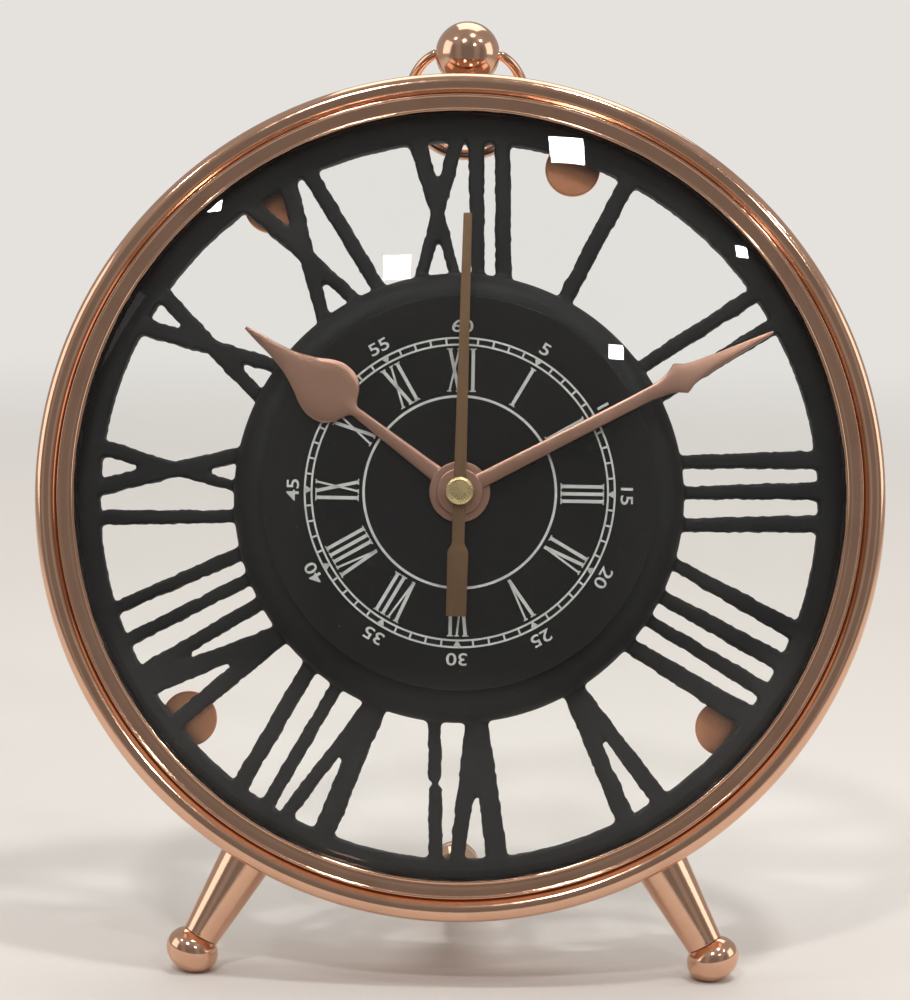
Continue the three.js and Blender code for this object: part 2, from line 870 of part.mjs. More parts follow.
function makeBail() {
  const right = bailOutlineShares.map(
    ([x, z]) => new THREE.Vector3(x * bailHalfWidth, 0, z * bailLength),
  );
  const left = right
    .slice(1, -1)
    .reverse()
    .map((point) => new THREE.Vector3(-point.x, 0, point.z));
  const points = [...right, ...left];
  const radii = points.map(
    (point) =>
      bailWireTopRadius + ((bailWireBottomRadius - bailWireTopRadius) * -point.z) / bailLength,
  );
  const edgeZ = Math.sqrt(drumRadius ** 2 - bailHalfWidth ** 2);
  const toEdge = new THREE.Vector2(drumBack - legY, knobCentreRadius - edgeZ);
  const clear = (bailWireTopRadius + bailWireBottomRadius) / 2 + bailRestGap;
  const dip = Math.atan2(toEdge.y, toEdge.x) - Math.asin(clear / toEdge.length());
  const holder = new THREE.Group();
  holder.position.set(0, legY, knobCentreRadius);
  holder.rotation.x = Math.PI / 2 - dip;
  addPiece("bail_ring", wireLoop(points, radii, 8), copper, holder);
  clock.add(holder);
}

// Outline shares of the hour hand: distance along it, and half width of the spade's half width
const hourOutlineShares = [
  [0.49, 0.16],
  [0.504, 0.3],
  [0.527, 0.68],
  [0.565, 0.93],
  [0.62, 1],
  [0.67, 0.88],
  [0.72, 0.64],
  [0.785, 0.4],
  [0.86, 0.24],
  [0.94, 0.14],
  [1, 0.05],
];
// Outline shares of the minute hand: distance along it, and half width of the barbs' half width
const minuteOutlineShares = [
  [0.4, 0.4],
  [0.6, 0.42],
  [0.66, 0.56],
  [0.7, 1],
  [0.735, 0.66],
  [0.8, 0.46],
  [0.9, 0.27],
  [0.99, 0.12],
  [1, 0.05],
];
const hourShaftRootShare = 0.27;
const minuteShaftRootShare = 0.48;

// Depths of the hands, from the disc forwards
const hourHandBack = discFront - handGap;
const hourHandFront = hourHandBack - hourHandThickness;
const minuteHandBack = hourHandFront - handGap;
const minuteHandFront = minuteHandBack - minuteHandThickness;
const minuteHandBend = glassInnerY(minuteHandLength) + handGlassGap - minuteHandFront;
const secondHandBack = minuteHandFront - handGap;
const secondHandFront = secondHandBack - secondHandThickness;
const capBack = secondHandFront - fit;
const capFront = capBack - capThickness;

// A blade whose far end is curved back towards the dial, to stay under the convex glass
function curvedBlade(body, start, length, drop) {
  const places = body.attributes.position;
  for (let i = 0; i < places.count; i++) {
    const along = Math.max(0, places.getZ(i) - start) / (length - start);
    places.setY(i, places.getY(i) + drop * along ** 2);
  }
  return body;
}

// A hand with a round hub, its blade, and a bore that fits its tube
function handBody(blade, hubRadius, bore, front, back) {
  const hub = rod(hubRadius, front, back, smallSteps);
  return cut(
    join(hub, blade),
    rod(bore, front - overrun, back + overrun, smallSteps),
  );
}

function makeHands() {
  const hourHalf = hourHandSpadeWidth / 2;
  const hourBlade = bladeShape([
    [hourTubeRadius + handGap, hourShaftRootShare * hourHalf],
    ...hourOutlineShares.map(([along, half]) => [along * hourHandLength, half * hourHalf]),
  ]);
  const hourHand = addPiece(
    "hour_hand",
    handBody(
      plate(hourBlade, hourHandFront, hourHandBack),
      hourHandHubRadius,
      hourTubeRadius + fit,
      hourHandFront,
      hourHandBack,
    ),
    satinCopper,
  );
  hourHand.rotation.y = hourHandAngle;
  const minuteHalf = minuteHandBarbWidth / 2;
  const minuteBlade = bladeShape([
    [minuteTubeRadius + handGap, minuteShaftRootShare * minuteHalf],
    ...minuteOutlineShares.map(([along, half]) => [along * minuteHandLength, half * minuteHalf]),
  ]);
  const minuteHand = addPiece(
    "minute_hand",
    handBody(
      curvedBlade(
        plate(minuteBlade, minuteHandFront, minuteHandBack),
        minuteHandBendStart,
        minuteHandLength,
        minuteHandBend,
      ),
      minuteHandHubRadius,
      minuteTubeRadius + fit,
      minuteHandFront,
      minuteHandBack,
    ),
    satinCopper,
  );
  minuteHand.rotation.y = minuteHandAngle;
  const weightStart = secondHandTail - secondHandWeightLength;
  const secondBlade = bladeShape([
    [-secondHandTail, secondHandWeightWidth / 2],
    [-weightStart, secondHandWeightWidth / 2],
    [-weightStart + fit, secondHandWidth / 2],
    [0, secondHandWidth / 2],
    [secondHandLength, secondHandTipWidth / 2],
  ]);
  const secondHand = addPiece(
    "second_hand",
    cut(
      join(
        rod(capRadius - seat, secondHandFront, secondHandBack, smallSteps),
        plate(secondBlade, secondHandFront, secondHandBack),
      ),
      rod(secondArborRadius + fit, secondHandFront - overrun, secondHandBack + overrun, tinySteps),
    ),
    satinCopper,
  );
  secondHand.rotation.y = secondHandAngle;
  const cap = revolve(
    [
      [0, capBack],
      [capRadius, capBack],
      [capRadius, capFront + capDome],
      [capRadius * capBevelShare, capFront + capDome * capDomeShare],
      [0, capFront],
    ],
    smallSteps,
  );
  const capBore = rod(secondArborRadius + fit, capBack - capThickness / 2, capBack + overrun, tinySteps);
  addPiece("centre_cap", cut(cap, capBore), brass);
}

// Depths and places inside the movement
const caseInside = movementFront + movementWall;
const coverBack = movementFront + movementDepth;
const coverFront = coverBack - movementCoverThickness;
const caseBack = coverFront - seat;
const layerFront = (layer) => caseInside + wheelStart + layer * wheelPitch;
const layerBack = (layer) => layerFront(layer) + wheelThickness;
const bridgeFront = layerBack(3) + wheelPitch - wheelThickness;
const bridgeBack = bridgeFront + bridgeThickness;
const upperFront = (layer) => bridgeBack + (layer + 1) * (wheelPitch - wheelThickness) + layer * wheelThickness;
const upperBack = (layer) => upperFront(layer) + wheelThickness;
const halfMovement = movementSize / 2;
const cavityWall = movementWall + fit;
const cellCentreZ = -halfMovement + cavityWall + cellRadius + seat;
const cellY = caseInside + cellRadius + seat;
const dividerTop = cellCentreZ + cellRadius + seat + movementWall;

// The arbor places: the two points of a train lie their wheels' pitch radii apart
const pitchSum = (module, a, b) => (module * (a + b)) / 2;
const secondsModule = (centreModule * (thirdPinionTeeth + centreTeeth)) / (secondsPinionTeeth + thirdTeeth);
const fromPoint = ([x, z], distance, angle) => [
  x + distance * Math.cos(angle),
  z + distance * Math.sin(angle),
];
const centrePlace = [0, 0];
const motionPlace = fromPoint(centrePlace, pitchSum(motionModule, cannonTeeth, motionTeeth), motionDirection);
const setPlace = fromPoint(motionPlace, pitchSum(motionModule, setPinionTeeth, motionTeeth), setDirection);
const thirdPlace = fromPoint(centrePlace, pitchSum(secondsModule, secondsPinionTeeth, thirdTeeth), thirdDirection);
const fifthPlace = fromPoint(centrePlace, pitchSum(fastModule, fifthPinionTeeth, secondsTeeth), fifthDirection);
const rotorPlace = fromPoint(fifthPlace, pitchSum(fastModule, rotorTeeth, fifthTeeth), rotorDirection);

// A spur wheel between two depths, with a tooth centred on the given direction
function wheelBody(teeth, module, toothDirection, front, back) {
  const pitchRadius = (teeth * module) / 2;
  const tip = pitchRadius + toothTipShare * module;
  const root = pitchRadius - toothRootShare * module;
  const pitch = (2 * Math.PI) / teeth;
  const points = [];
  for (let i = 0; i < teeth; i++) {
    const middle = toothDirection + i * pitch;
    const corners = [
      [root, -toothRootWidthShare],
      [tip, -toothTipWidthShare],
      [tip, toothTipWidthShare],
      [root, toothRootWidthShare],
    ];
    for (const [radius, share] of corners) {
      const turn = middle + share * pitch;
      points.push([radius * Math.cos(turn), radius * Math.sin(turn)]);
    }
  }
  return plate(outlineShape(points), front, back);
}

// The direction of a driven wheel's tooth that lets the driver's tooth sit in its gap
const gapFacing = (direction, teeth) => direction + Math.PI + Math.PI / teeth;

// The direction of a driven wheel's tooth when the driver's tooth direction is already set
function meshedTooth(driverTooth, driverTeeth, direction, drivenTeeth) {
  const phase = ((direction - driverTooth) * driverTeeth) / (2 * Math.PI);
  const share = phase - Math.floor(phase);
  return direction + Math.PI - ((1 / 2 - share) * 2 * Math.PI) / drivenTeeth;
}
const moved = (body, [x, z]) => body.translate(x, 0, z);

const pivotFront = movementFront + movementWall / 2;

function makeTrain() {
  const hourWheel = join(
    wheelBody(hourTeeth, motionModule, gapFacing(motionDirection + Math.PI, hourTeeth), layerFront(0), layerBack(0)),
    rod(hourTubeRadius, hourHandFront, layerFront(0) + fit, smallSteps),
  );
  const hourBore = rod(minuteTubeRadius + tubeClear, hourHandFront - overrun, layerBack(0) + overrun, smallSteps);
  addPiece("hour_wheel", cut(hourWheel, hourBore), whitePlastic);

  const centreWheel = join(
    wheelBody(centreTeeth, centreModule, gapFacing(thirdDirection + Math.PI, centreTeeth), layerFront(2), layerBack(2)),
    wheelBody(cannonTeeth, motionModule, motionDirection, layerFront(1), layerFront(2) + fit),
    rod(minuteTubeRadius, minuteHandFront, layerFront(1) + fit, smallSteps),
  );
  const centreBore = rod(secondArborRadius + tubeClear, minuteHandFront - overrun, layerBack(2) + overrun, tinySteps);
  addPiece("centre_wheel", cut(centreWheel, centreBore), whitePlastic);

  const secondsWheel = join(
    wheelBody(secondsTeeth, fastModule, gapFacing(fifthDirection + Math.PI, secondsTeeth), upperFront(0), upperBack(0)),
    wheelBody(secondsPinionTeeth, secondsModule, thirdDirection, layerFront(3), layerBack(3)),
    rod(secondArborRadius, capBack - capThickness / 2 + fit, coverFront - seat, tinySteps),
  );
  addPiece("seconds_wheel", secondsWheel, whitePlastic);

  const thirdWheel = join(
    wheelBody(thirdTeeth, secondsModule, gapFacing(thirdDirection, thirdTeeth), layerFront(3), layerBack(3)),
    wheelBody(thirdPinionTeeth, centreModule, thirdDirection + Math.PI, layerFront(2), layerFront(3) + fit),
    rod(arborRadius, pivotFront, bridgeBack - seat, tinySteps),
  );
  addPiece("third_wheel", moved(thirdWheel, thirdPlace), whitePlastic);

  const fifthWheel = join(
    wheelBody(fifthTeeth, fastModule, gapFacing(rotorDirection + Math.PI, fifthTeeth), upperFront(1), upperBack(1)),
    wheelBody(fifthPinionTeeth, fastModule, fifthDirection + Math.PI, upperFront(0), upperFront(1) + fit),
    rod(arborRadius, bridgeFront + seat, coverFront - seat, tinySteps),
  );
  addPiece("fifth_wheel", moved(fifthWheel, fifthPlace), whitePlastic);

  const rotor = join(
    wheelBody(rotorTeeth, fastModule, rotorDirection + Math.PI, upperFront(1) - seat, upperBack(1)),
    rod(rotorMagnetRadius, upperFront(0), upperFront(1) - seat, tinySteps),
    rod(arborRadius, bridgeFront + seat, coverFront - seat, tinySteps),
  );
  addPiece("rotor", moved(rotor, rotorPlace), steel);

  const motionWheel = join(
    wheelBody(motionTeeth, motionModule, gapFacing(motionDirection, motionTeeth), layerFront(1), layerBack(1)),
    wheelBody(motionPinionTeeth, motionModule, motionDirection + Math.PI, layerFront(0), layerFront(1) + fit),
  );
  const motionBore = rod(arborRadius + fit, layerFront(0) - overrun, layerBack(1) + overrun, tinySteps);
  addPiece("motion_wheel", moved(cut(motionWheel, motionBore), motionPlace), whitePlastic);
}

function makeSetKnob() {
  const pinion = wheelBody(
    setPinionTeeth,
    motionModule,
    meshedTooth(gapFacing(motionDirection, motionTeeth), motionTeeth, setDirection, setPinionTeeth),
    layerFront(1),
    layerBack(1),
  );
  const shaft = rod(setShaftRadius, layerFront(1) + fit, coverBack + seat + fit, tinySteps);
  const pivot = rod(arborRadius, pivotFront, layerFront(1) + fit, tinySteps);
  const grip = [];
  for (let i = 0; i < setKnobFlutes * 2; i++) {
    const radius = i % 2 ? setKnobRadius : setKnobRadius - setKnobFluteDepth;
    grip.push(atClock(radius, (Math.PI * i) / setKnobFlutes));
  }
  const knob = plate(outlineShape(grip), coverBack + seat, coverBack + seat + setKnobHeight);
  addPiece("set_knob", moved(join(pinion, shaft, pivot, knob), setPlace), blackPlastic);
}

function makeMovementCase() {
  const outer = plate(
    roundedRectangle(-halfMovement, -halfMovement, halfMovement, halfMovement, movementCorner),
    movementFront,
    caseBack,
    4,
  );
  const inside = halfMovement - movementWall;
  const corner = movementCorner - movementWall;
  const gearBay = plate(
    roundedRectangle(-inside, dividerTop, inside, inside, corner),
    caseInside,
    caseBack + overrun,
    4,
  );
  const cellBay = plate(
    roundedRectangle(-inside, -inside, inside, dividerTop - movementWall, movementWall),
    caseInside,
    caseBack + overrun,
    3,
  );
  const bush = rod(bushRadius, centreNutFront, movementFront + fit, smallSteps);
  const bushBore = rod(hourTubeRadius + tubeClear, centreNutFront - overrun, caseInside + overrun, smallSteps);
  const motionPost = moved(rod(arborRadius, caseInside - fit, layerBack(1), tinySteps), motionPlace);
  const pivotHole = (place) => moved(rod(arborRadius + fit, pivotFront - fit, caseInside + overrun, tinySteps), place);
  const posts = bridgePosts.map((place) => moved(rod(postRadius, caseInside - fit, bridgeFront - seat, tinySteps), place));
  const shell = cut(outer, gearBay, cellBay);
  addPiece(
    "movement_case",
    cut(join(shell, bush, motionPost, ...posts), bushBore, pivotHole(thirdPlace), pivotHole(setPlace)),
    blackPlastic,
  );

  const coverShape = roundedRectangle(
    -halfMovement,
    dividerTop - movementWall,
    halfMovement,
    halfMovement,
    movementCorner,
  );
  const cover = plate(coverShape, coverFront, coverBack, 4);
  const bossFront = upperBack(1) + seat;
  const bearings = [centrePlace, fifthPlace, rotorPlace].map((place) =>
    moved(rod(postRadius, bossFront, coverFront + fit, tinySteps), place),
  );
  const bearingHoles = [centrePlace, fifthPlace, rotorPlace].map((place) =>
    moved(rod(arborRadius + fit + seat, bossFront - overrun, coverFront, tinySteps), place),
  );
  const knobHole = moved(rod(setShaftRadius + fit, coverFront - overrun, coverBack + overrun, tinySteps), setPlace);
  addPiece("movement_cover", cut(join(cover, ...bearings), ...bearingHoles, knobHole), blackPlastic);

  const bridgeShape = roundedRectangle(bridgeLeft, dividerTop + seat, inside - seat, inside - seat, corner);
  const bridgeHole = (place, radius) =>
    moved(rod(radius, bridgeFront - overrun, bridgeBack + overrun, tinySteps), place);
  addPiece(
    "train_bridge",
    cut(
      plate(bridgeShape, bridgeFront, bridgeBack, 3),
      bridgeHole(centrePlace, secondArborRadius + fit),
      bridgeHole(thirdPlace, arborRadius + fit),
      bridgeHole(fifthPlace, arborRadius + fit),
      bridgeHole(rotorPlace, arborRadius + fit),
      bridgeHole(setPlace, setShaftRadius + fit),
    ),
    blackPlastic,
  );
}

const centreNutFront = hubFront - centreNutHeight;
const bridgeLeft = rotorPlace[0] - rotorMagnetRadius - fit;
const postInset = movementWall + postRadius + seat;
const bridgePosts = [
  [halfMovement - postInset - postRadius, halfMovement - postInset - postRadius],
  [bridgeLeft + postRadius + seat, halfMovement - postInset],
  [halfMovement - postInset, dividerTop + postRadius + seat],
];

// Coil, core, stator, board and crystal
function makeElectrics() {
  const inside = halfMovement - movementWall;
  const coilX = -inside + coilRadius + seat;
  const coilZ = rotorPlace[1] + statorRingRadius + coilLength / 2 - coreWidth;
  const coreBack = bridgeFront + coreThickness;
  const coreHalf = coilLength / 2 + coreWidth * 1.5;
  const core = new THREE.BoxGeometry(coreWidth, coreThickness, 2 * coreHalf);
  addPiece("coil_core", core.translate(coilX, coreBack - coreThickness / 2, coilZ), steel);
  const coilBody = rodBetween(
    coilRadius,
    new THREE.Vector3(coilX, coreBack - coreThickness / 2, coilZ - coilLength / 2),
    new THREE.Vector3(coilX, coreBack - coreThickness / 2, coilZ + coilLength / 2),
    smallSteps / 2,
  );
  const coreSlot = new THREE.BoxGeometry(
    coreWidth + 2 * fit,
    coreThickness + 2 * fit,
    coilLength + overrun,
  ).translate(coilX, coreBack - coreThickness / 2, coilZ);
  addPiece("coil", cut(coilBody, coreSlot), windingCopper);

  const statorFront = coreBack + seat;
  const statorBack = statorFront + statorThickness;
  const [rotorX, rotorZ] = rotorPlace;
  const statorRing = rod(statorRingRadius, statorFront, statorBack, smallSteps).translate(rotorX, 0, rotorZ);
  const lowArm = outlineShape([
    [coilX - coreWidth, coilZ - coreHalf],
    [rotorX, rotorZ - coreWidth],
    [rotorX, rotorZ + coreWidth],
    [coilX - coreWidth, coilZ - coreHalf + coreWidth],
  ]);
  const highArm = outlineShape([
    [rotorX - coreWidth, rotorZ],
    [rotorX + coreWidth, rotorZ],
    [coilX + coilRadius + coreWidth, coilZ + coreHalf - coreWidth],
    [coilX + coilRadius + coreWidth, coilZ + coreHalf],
    [coilX - coreWidth, coilZ + coreHalf],
    [coilX - coreWidth, coilZ + coreHalf - coreWidth],
    [coilX + coilRadius + seat * 2, coilZ + coreHalf - coreWidth],
  ]);
  const statorHole = rod(rotorMagnetRadius + seat, statorFront - overrun, statorBack + overrun, smallSteps);
  addPiece(
    "stator",
    cut(
      join(statorRing, plate(lowArm, statorFront, statorBack), plate(highArm, statorFront, statorBack)),
      statorHole.translate(rotorX, 0, rotorZ),
    ),
    steel,
  );

  const boardRight = inside - seat - fit;
  const boardTop = inside - seat - fit;
  const boardFront = bridgeBack + seat;
  const boardBack = boardFront + boardThickness;
  addPiece(
    "circuit_board",
    plate(
      roundedRectangle(boardRight - boardWidth, boardTop - boardHeight, boardRight, boardTop, boardCorner),
      boardFront,
      boardBack,
      3,
    ),
    greenBoard,
  );
  const crystalZ = boardTop - boardHeight / 2;
  const crystalY = boardBack + crystalRadius + seat;
  const crystalX = boardRight - boardWidth / 2;
  addPiece(
    "crystal",
    rodBetween(
      crystalRadius,
      new THREE.Vector3(crystalX - crystalLength / 2, crystalY, crystalZ),
      new THREE.Vector3(crystalX + crystalLength / 2, crystalY, crystalZ),
      tinySteps,
    ),
    steel,
  );
}

function makeCell() {
  const half = cellLength / 2;
  const body = revolve(
    [
      [0, -half],
      [cellRadius, -half],
      [cellRadius, half - cellCapLength],
      [cellCapRadius, half - cellCapLength],
      [cellCapRadius, half],
      [0, half],
    ],
    smallSteps,
  );
  const cell = addPiece("aa_cell", body, cellSleeve);
  cell.rotation.z = -Math.PI / 2;
  cell.position.set(0, cellY, cellCentreZ);
  const contactX = half + seat + contactThickness / 2;
  const inside = halfMovement - movementWall;
  const contactHeight = cellRadius;
  const contact = () => new THREE.BoxGeometry(contactThickness, contactHeight, contactHeight);
  const dimple = (x) =>
    rodBetween(
      cellCapRadius / 2,
      new THREE.Vector3(x, 0, 0),
      new THREE.Vector3(Math.sign(x) * (inside - fit) - Math.sign(x) * contactX + x, 0, 0),
      tinySteps,
    );
  addPiece(
    "contact_positive",
    join(contact(), dimple(fit)).translate(contactX, cellY, cellCentreZ),
    brass,
  );
  addPiece(
    "contact_negative",
    join(contact(), dimple(-fit)).translate(-contactX, cellY, cellCentreZ),
    steel,
  );
}

function makeCentreHardware() {
  const nut = hexRing(bushRadius + fit, centreNutRadius, centreNutFront, hubFront - seat);
  addPiece("centre_nut", nut, brass);
  const washer = ringBody(
    bushRadius + fit,
    washerRadius,
    hubBossBack + fit,
    hubBossBack + fit + washerThickness,
    smallSteps,
  );
  addPiece("rubber_washer", washer, rubber);
}

makeBezel();
makeGlass();
makeDrum();
makeDial();
makeClips();
makeLegs();
makeKnob();
makeBail();
makeHands();
makeTrain();
makeSetKnob();
makeMovementCase();
makeElectrics();
makeCell();
makeCentreHardware();

// The clock leans back, stands on z = 0 and is centred in plan
clock.rotation.x = -leanAngle;
const part = new THREE.Group();
part.add(clock);
part.updateMatrixWorld(true);
const extent = new THREE.Box3().setFromObject(part, true);
clock.position.set(
  -(extent.min.x + extent.max.x) / 2,
  -(extent.min.y + extent.max.y) / 2,
  -groundZ,
);

export default part;
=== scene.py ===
"""Dresses the free-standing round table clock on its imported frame: shapes, finishes, studio and camera.

Shapes are drawn in millimetres in the clock's own upright space: X to the right, Z towards 12 and Y into the
case, with the front of the bezel lip at Y = 0. CLOCK turns that space into the leaned frame in metres.
"""

import logging
import math
from dataclasses import dataclass
from enum import Enum
from typing import Callable, Iterable, Sequence

import bmesh
import bpy
from mathutils import Matrix, Vector, noise


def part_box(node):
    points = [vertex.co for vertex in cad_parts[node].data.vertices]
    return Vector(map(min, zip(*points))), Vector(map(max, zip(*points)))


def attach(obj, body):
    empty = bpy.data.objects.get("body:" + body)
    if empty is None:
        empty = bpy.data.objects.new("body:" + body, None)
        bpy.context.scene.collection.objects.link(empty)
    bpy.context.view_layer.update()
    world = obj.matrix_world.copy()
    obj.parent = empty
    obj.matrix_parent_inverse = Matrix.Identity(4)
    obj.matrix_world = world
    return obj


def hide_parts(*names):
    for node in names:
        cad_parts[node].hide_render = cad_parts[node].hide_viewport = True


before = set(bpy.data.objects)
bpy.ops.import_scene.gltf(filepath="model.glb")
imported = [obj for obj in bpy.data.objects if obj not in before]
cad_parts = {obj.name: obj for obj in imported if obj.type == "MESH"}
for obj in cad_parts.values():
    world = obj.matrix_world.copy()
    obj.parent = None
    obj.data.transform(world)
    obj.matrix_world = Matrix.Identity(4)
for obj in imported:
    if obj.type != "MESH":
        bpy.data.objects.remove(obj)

log = logging.getLogger("table_clock")

MILLIMETRE = 0.001
LEAN = math.radians(11)
CLOCK_CENTRE = Vector((0.0, -0.02143, 0.087964))
CLOCK = (
    Matrix.Translation(CLOCK_CENTRE)
    @ Matrix.Rotation(-LEAN, 4, "X")
    @ Matrix.Scale(MILLIMETRE, 4)
)
FACE = Matrix.Rotation(math.radians(90), 4, "X")
TURN = 2 * math.pi
SURROUNDINGS = (0.785, 0.76, 0.73)
SMOOTH_STEPS = 192
SMALL_STEPS = 64
HAIR = 1e-6
MERGE_REACH = 1e-5
PACKED_MERGE_REACH = 1e-7
CELL_HALF_LENGTH = 25.25
CASE = "clock_case"

Mesh = bpy.types.Mesh
Colour = tuple[float, float, float]
Corner = tuple[float, float, float]
Point = tuple[float, float]


# Node trees


class Wire:
    """A node's output that can be calculated with: each operation adds a Math node."""

    def __init__(self, book: "NodeBook", socket: bpy.types.NodeSocket) -> None:
        """Keeps the output and the book that its node is written in."""
        self.book = book
        self.socket = socket

    def __add__(self, other: "Wire | float") -> "Wire":
        """The sum."""
        return self.book.math("ADD", self, other)

    def __sub__(self, other: "Wire | float") -> "Wire":
        """The difference."""
        return self.book.math("SUBTRACT", self, other)

    def __rsub__(self, other: float) -> "Wire":
        """The difference, with the number first."""
        return self.book.math("SUBTRACT", other, self)

    def __mul__(self, other: "Wire | float") -> "Wire":
        """The product."""
        return self.book.math("MULTIPLY", self, other)

    def __pow__(self, other: "Wire | float") -> "Wire":
        """The power."""
        return self.book.math("POWER", self, other)

    __radd__ = __add__
    __rmul__ = __mul__

    def ramp(self, low: float, high: float) -> "Wire":
        """A smooth rise from 0 at low to 1 at high."""
        sockets = {"Value": self, "From Min": low, "From Max": high}
        return self.book.node("ShaderNodeMapRange", sockets, interpolation_type="SMOOTHSTEP")


class NodeBook:
    """Writes nodes and their links into one node tree."""

    def __init__(self, tree: bpy.types.NodeTree) -> None:
        """Keeps the tree that is written."""
        self.tree = tree

    def node(self, kind: str, sockets: dict | None = None, output: int | str = 0, **settings) -> Wire:
        """Adds one node.

        Args:
            kind: The node's type.
            sockets: A value, a wire or a list of wires for each socket, by name or number.
            output: The output to go on with, by name or number.
            settings: The node's own settings, set before its sockets.

        Returns:
            The chosen output.
        """
        node = self.tree.nodes.new(kind)
        for name, value in settings.items():
            setattr(node, name, value)
        for key, value in (sockets or {}).items():
            for part in value if isinstance(value, list) else [value]:
                if isinstance(part, Wire):
                    self.tree.links.new(part.socket, node.inputs[key])
                else:
                    node.inputs[key].default_value = part
        return Wire(self, node.outputs[output]) if node.outputs else None

    def math(self, operation: str, first: Wire | float, second: Wire | float = 0.0) -> Wire:
        """A Math node."""
        return self.node("ShaderNodeMath", {0: first, 1: second}, operation=operation)

    def vector(self, operation: str, first: Wire, second: Wire | Sequence[float]) -> Wire:
        """A Vector Math node."""
        return self.node("ShaderNodeVectorMath", {0: first, 1: second}, operation=operation)

    def join(self, x: Wire | float, y: Wire | float, z: Wire | float) -> Wire:
        """A vector out of three numbers."""
        return self.node("ShaderNodeCombineXYZ", {0: x, 1: y, 2: z})

    def split(self, vector: Wire) -> tuple[Wire, Wire, Wire]:
        """The three numbers of a vector."""
        first = self.node("ShaderNodeSeparateXYZ", {0: vector})
        outputs = first.socket.node.outputs
        return first, Wire(self, outputs[1]), Wire(self, outputs[2])


class SurfaceBook(NodeBook):
    """Writes one material."""

    def __init__(self, name: str) -> None:
        """Starts an empty material of that name.

        Args:
            name: The material's name.
        """
        self.material = bpy.data.materials.new(name)
        self.material.use_nodes = True
        super().__init__(self.material.node_tree)
        self.tree.nodes.clear()

    def blend(self, share: Wire | float, first: Wire | Colour, second: Wire | Colour) -> Wire:
        """A mix of two colours.

        Args:
            share: How much of the second colour shows.
            first: The first colour.
            second: The second colour.

        Returns:
            The mixed colour.
        """
        ends = [end if isinstance(end, Wire) else (*end, 1.0) for end in (first, second)]
        sockets = {0: share, 6: ends[0], 7: ends[1]}
        return self.node("ShaderNodeMix", sockets, 2, data_type="RGBA")

    def grain(self, place: Wire, scale: float, detail: float = 2.0, roughness: float = 0.5) -> Wire:
        """A noise between 0 and 1, from its scale for each millimetre, its octaves and their roughness."""
        sockets = {"Vector": place, "Scale": scale, "Detail": detail, "Roughness": roughness}
        return self.node("ShaderNodeTexNoise", sockets)

    def cells(self, place: Wire, scale: float) -> Wire:
        """The distance to the nearest of many scattered points."""
        return self.node("ShaderNodeTexVoronoi", {"Vector": place, "Scale": scale})

    def place(self) -> Wire:
        """The point on the piece in the clock's own space, in millimetres.

        Returns:
            The point.
        """
        here = self.node("ShaderNodeTexCoord", output="Object")
        moved = self.vector("SUBTRACT", here, tuple(CLOCK_CENTRE))
        upright = self.node(
            "ShaderNodeVectorRotate", {"Vector": moved, "Angle": LEAN}, rotation_type="X_AXIS"
        )
        scaled = self.vector("SCALE", upright, (0, 0, 0))
        scaled.socket.node.inputs["Scale"].default_value = 1 / MILLIMETRE
        return scaled

    def round_place(self, place: Wire) -> tuple[Wire, Wire, Wire]:
        """The radius, the angle and the depth of a point around the clock's axis.

        Args:
            place: The point in the clock's own space.

        Returns:
            Its radius, angle and depth.
        """
        x, y, z = self.split(place)
        radius = (x * x + z * z) ** 0.5
        return radius, self.math("ARCTAN2", x, z), y

    def bump(self, height: Wire, distance: float, strength: float = 1.0) -> Wire:
        """A normal from a height of 0 to 1, a relief in millimetres and the share of it that shows."""
        sockets = {"Height": height, "Distance": distance * MILLIMETRE, "Strength": strength}
        return self.node("ShaderNodeBump", sockets)

    def principled(self, sockets: dict) -> Wire:
        """A Principled shader.

        Args:
            sockets: A value, a colour or a wire for each socket, by name.

        Returns:
            The shader.
        """
        filled = {
            name: (*value, 1.0) if isinstance(value, tuple) and len(value) == 3 else value
            for name, value in sockets.items()
        }
        return self.node("ShaderNodeBsdfPrincipled", filled)

    def close(self, shader: Wire) -> bpy.types.Material:
        """Ends the material on a shader."""
        self.node("ShaderNodeOutputMaterial", {"Surface": shader})
        return self.material


def surroundings_strength(book: NodeBook, direction: Wire) -> tuple[Wire, Wire]:
    """How bright the pale surroundings are in a direction.

    They are full strength where they are looked at, also through the glass. Where a surface mirrors them
    they are dimmer in front of the clock, with a soft paler panel at either side, so that black and copper
    keep their depth.

    Args:
        book: The book of the material or world.
        direction: The way out, as a unit vector.

    Returns:
        The strength, and 1 where they are mirrored or give light.
    """
    x, y, z = book.split(direction)
    front = (0 - y).ramp(0.1, 0.62)
    aside = book.math("ABSOLUTE", x)
    panels = aside.ramp(0.34, 0.46) * (1 - aside.ramp(0.62, 0.76)) * z.ramp(-0.25, 0.05)
    dim = 0.55 - 0.27 * front + (0.12 * z.ramp(0.35, 0.85) + 0.16 * panels) * front
    shown = book.node("ShaderNodeLightPath", output="Is Camera Ray")
    outputs = shown.socket.node.outputs
    mirrored = Wire(book, outputs["Glossy Depth"]) + Wire(book, outputs["Diffuse Depth"])
    through = Wire(book, outputs["Is Transmission Ray"]) * (1 - mirrored.ramp(0.0, 1.0))
    seen = book.math("MAXIMUM", shown, through)
    return seen + (1 - seen) * dim, 1 - seen


# Finishes


class Grain(Enum):
    """Which way a metal's polishing marks run."""

    ROUND_THE_CASE = "round the case"
    SCATTERED = "scattered"
    BRUSHED = "brushed"


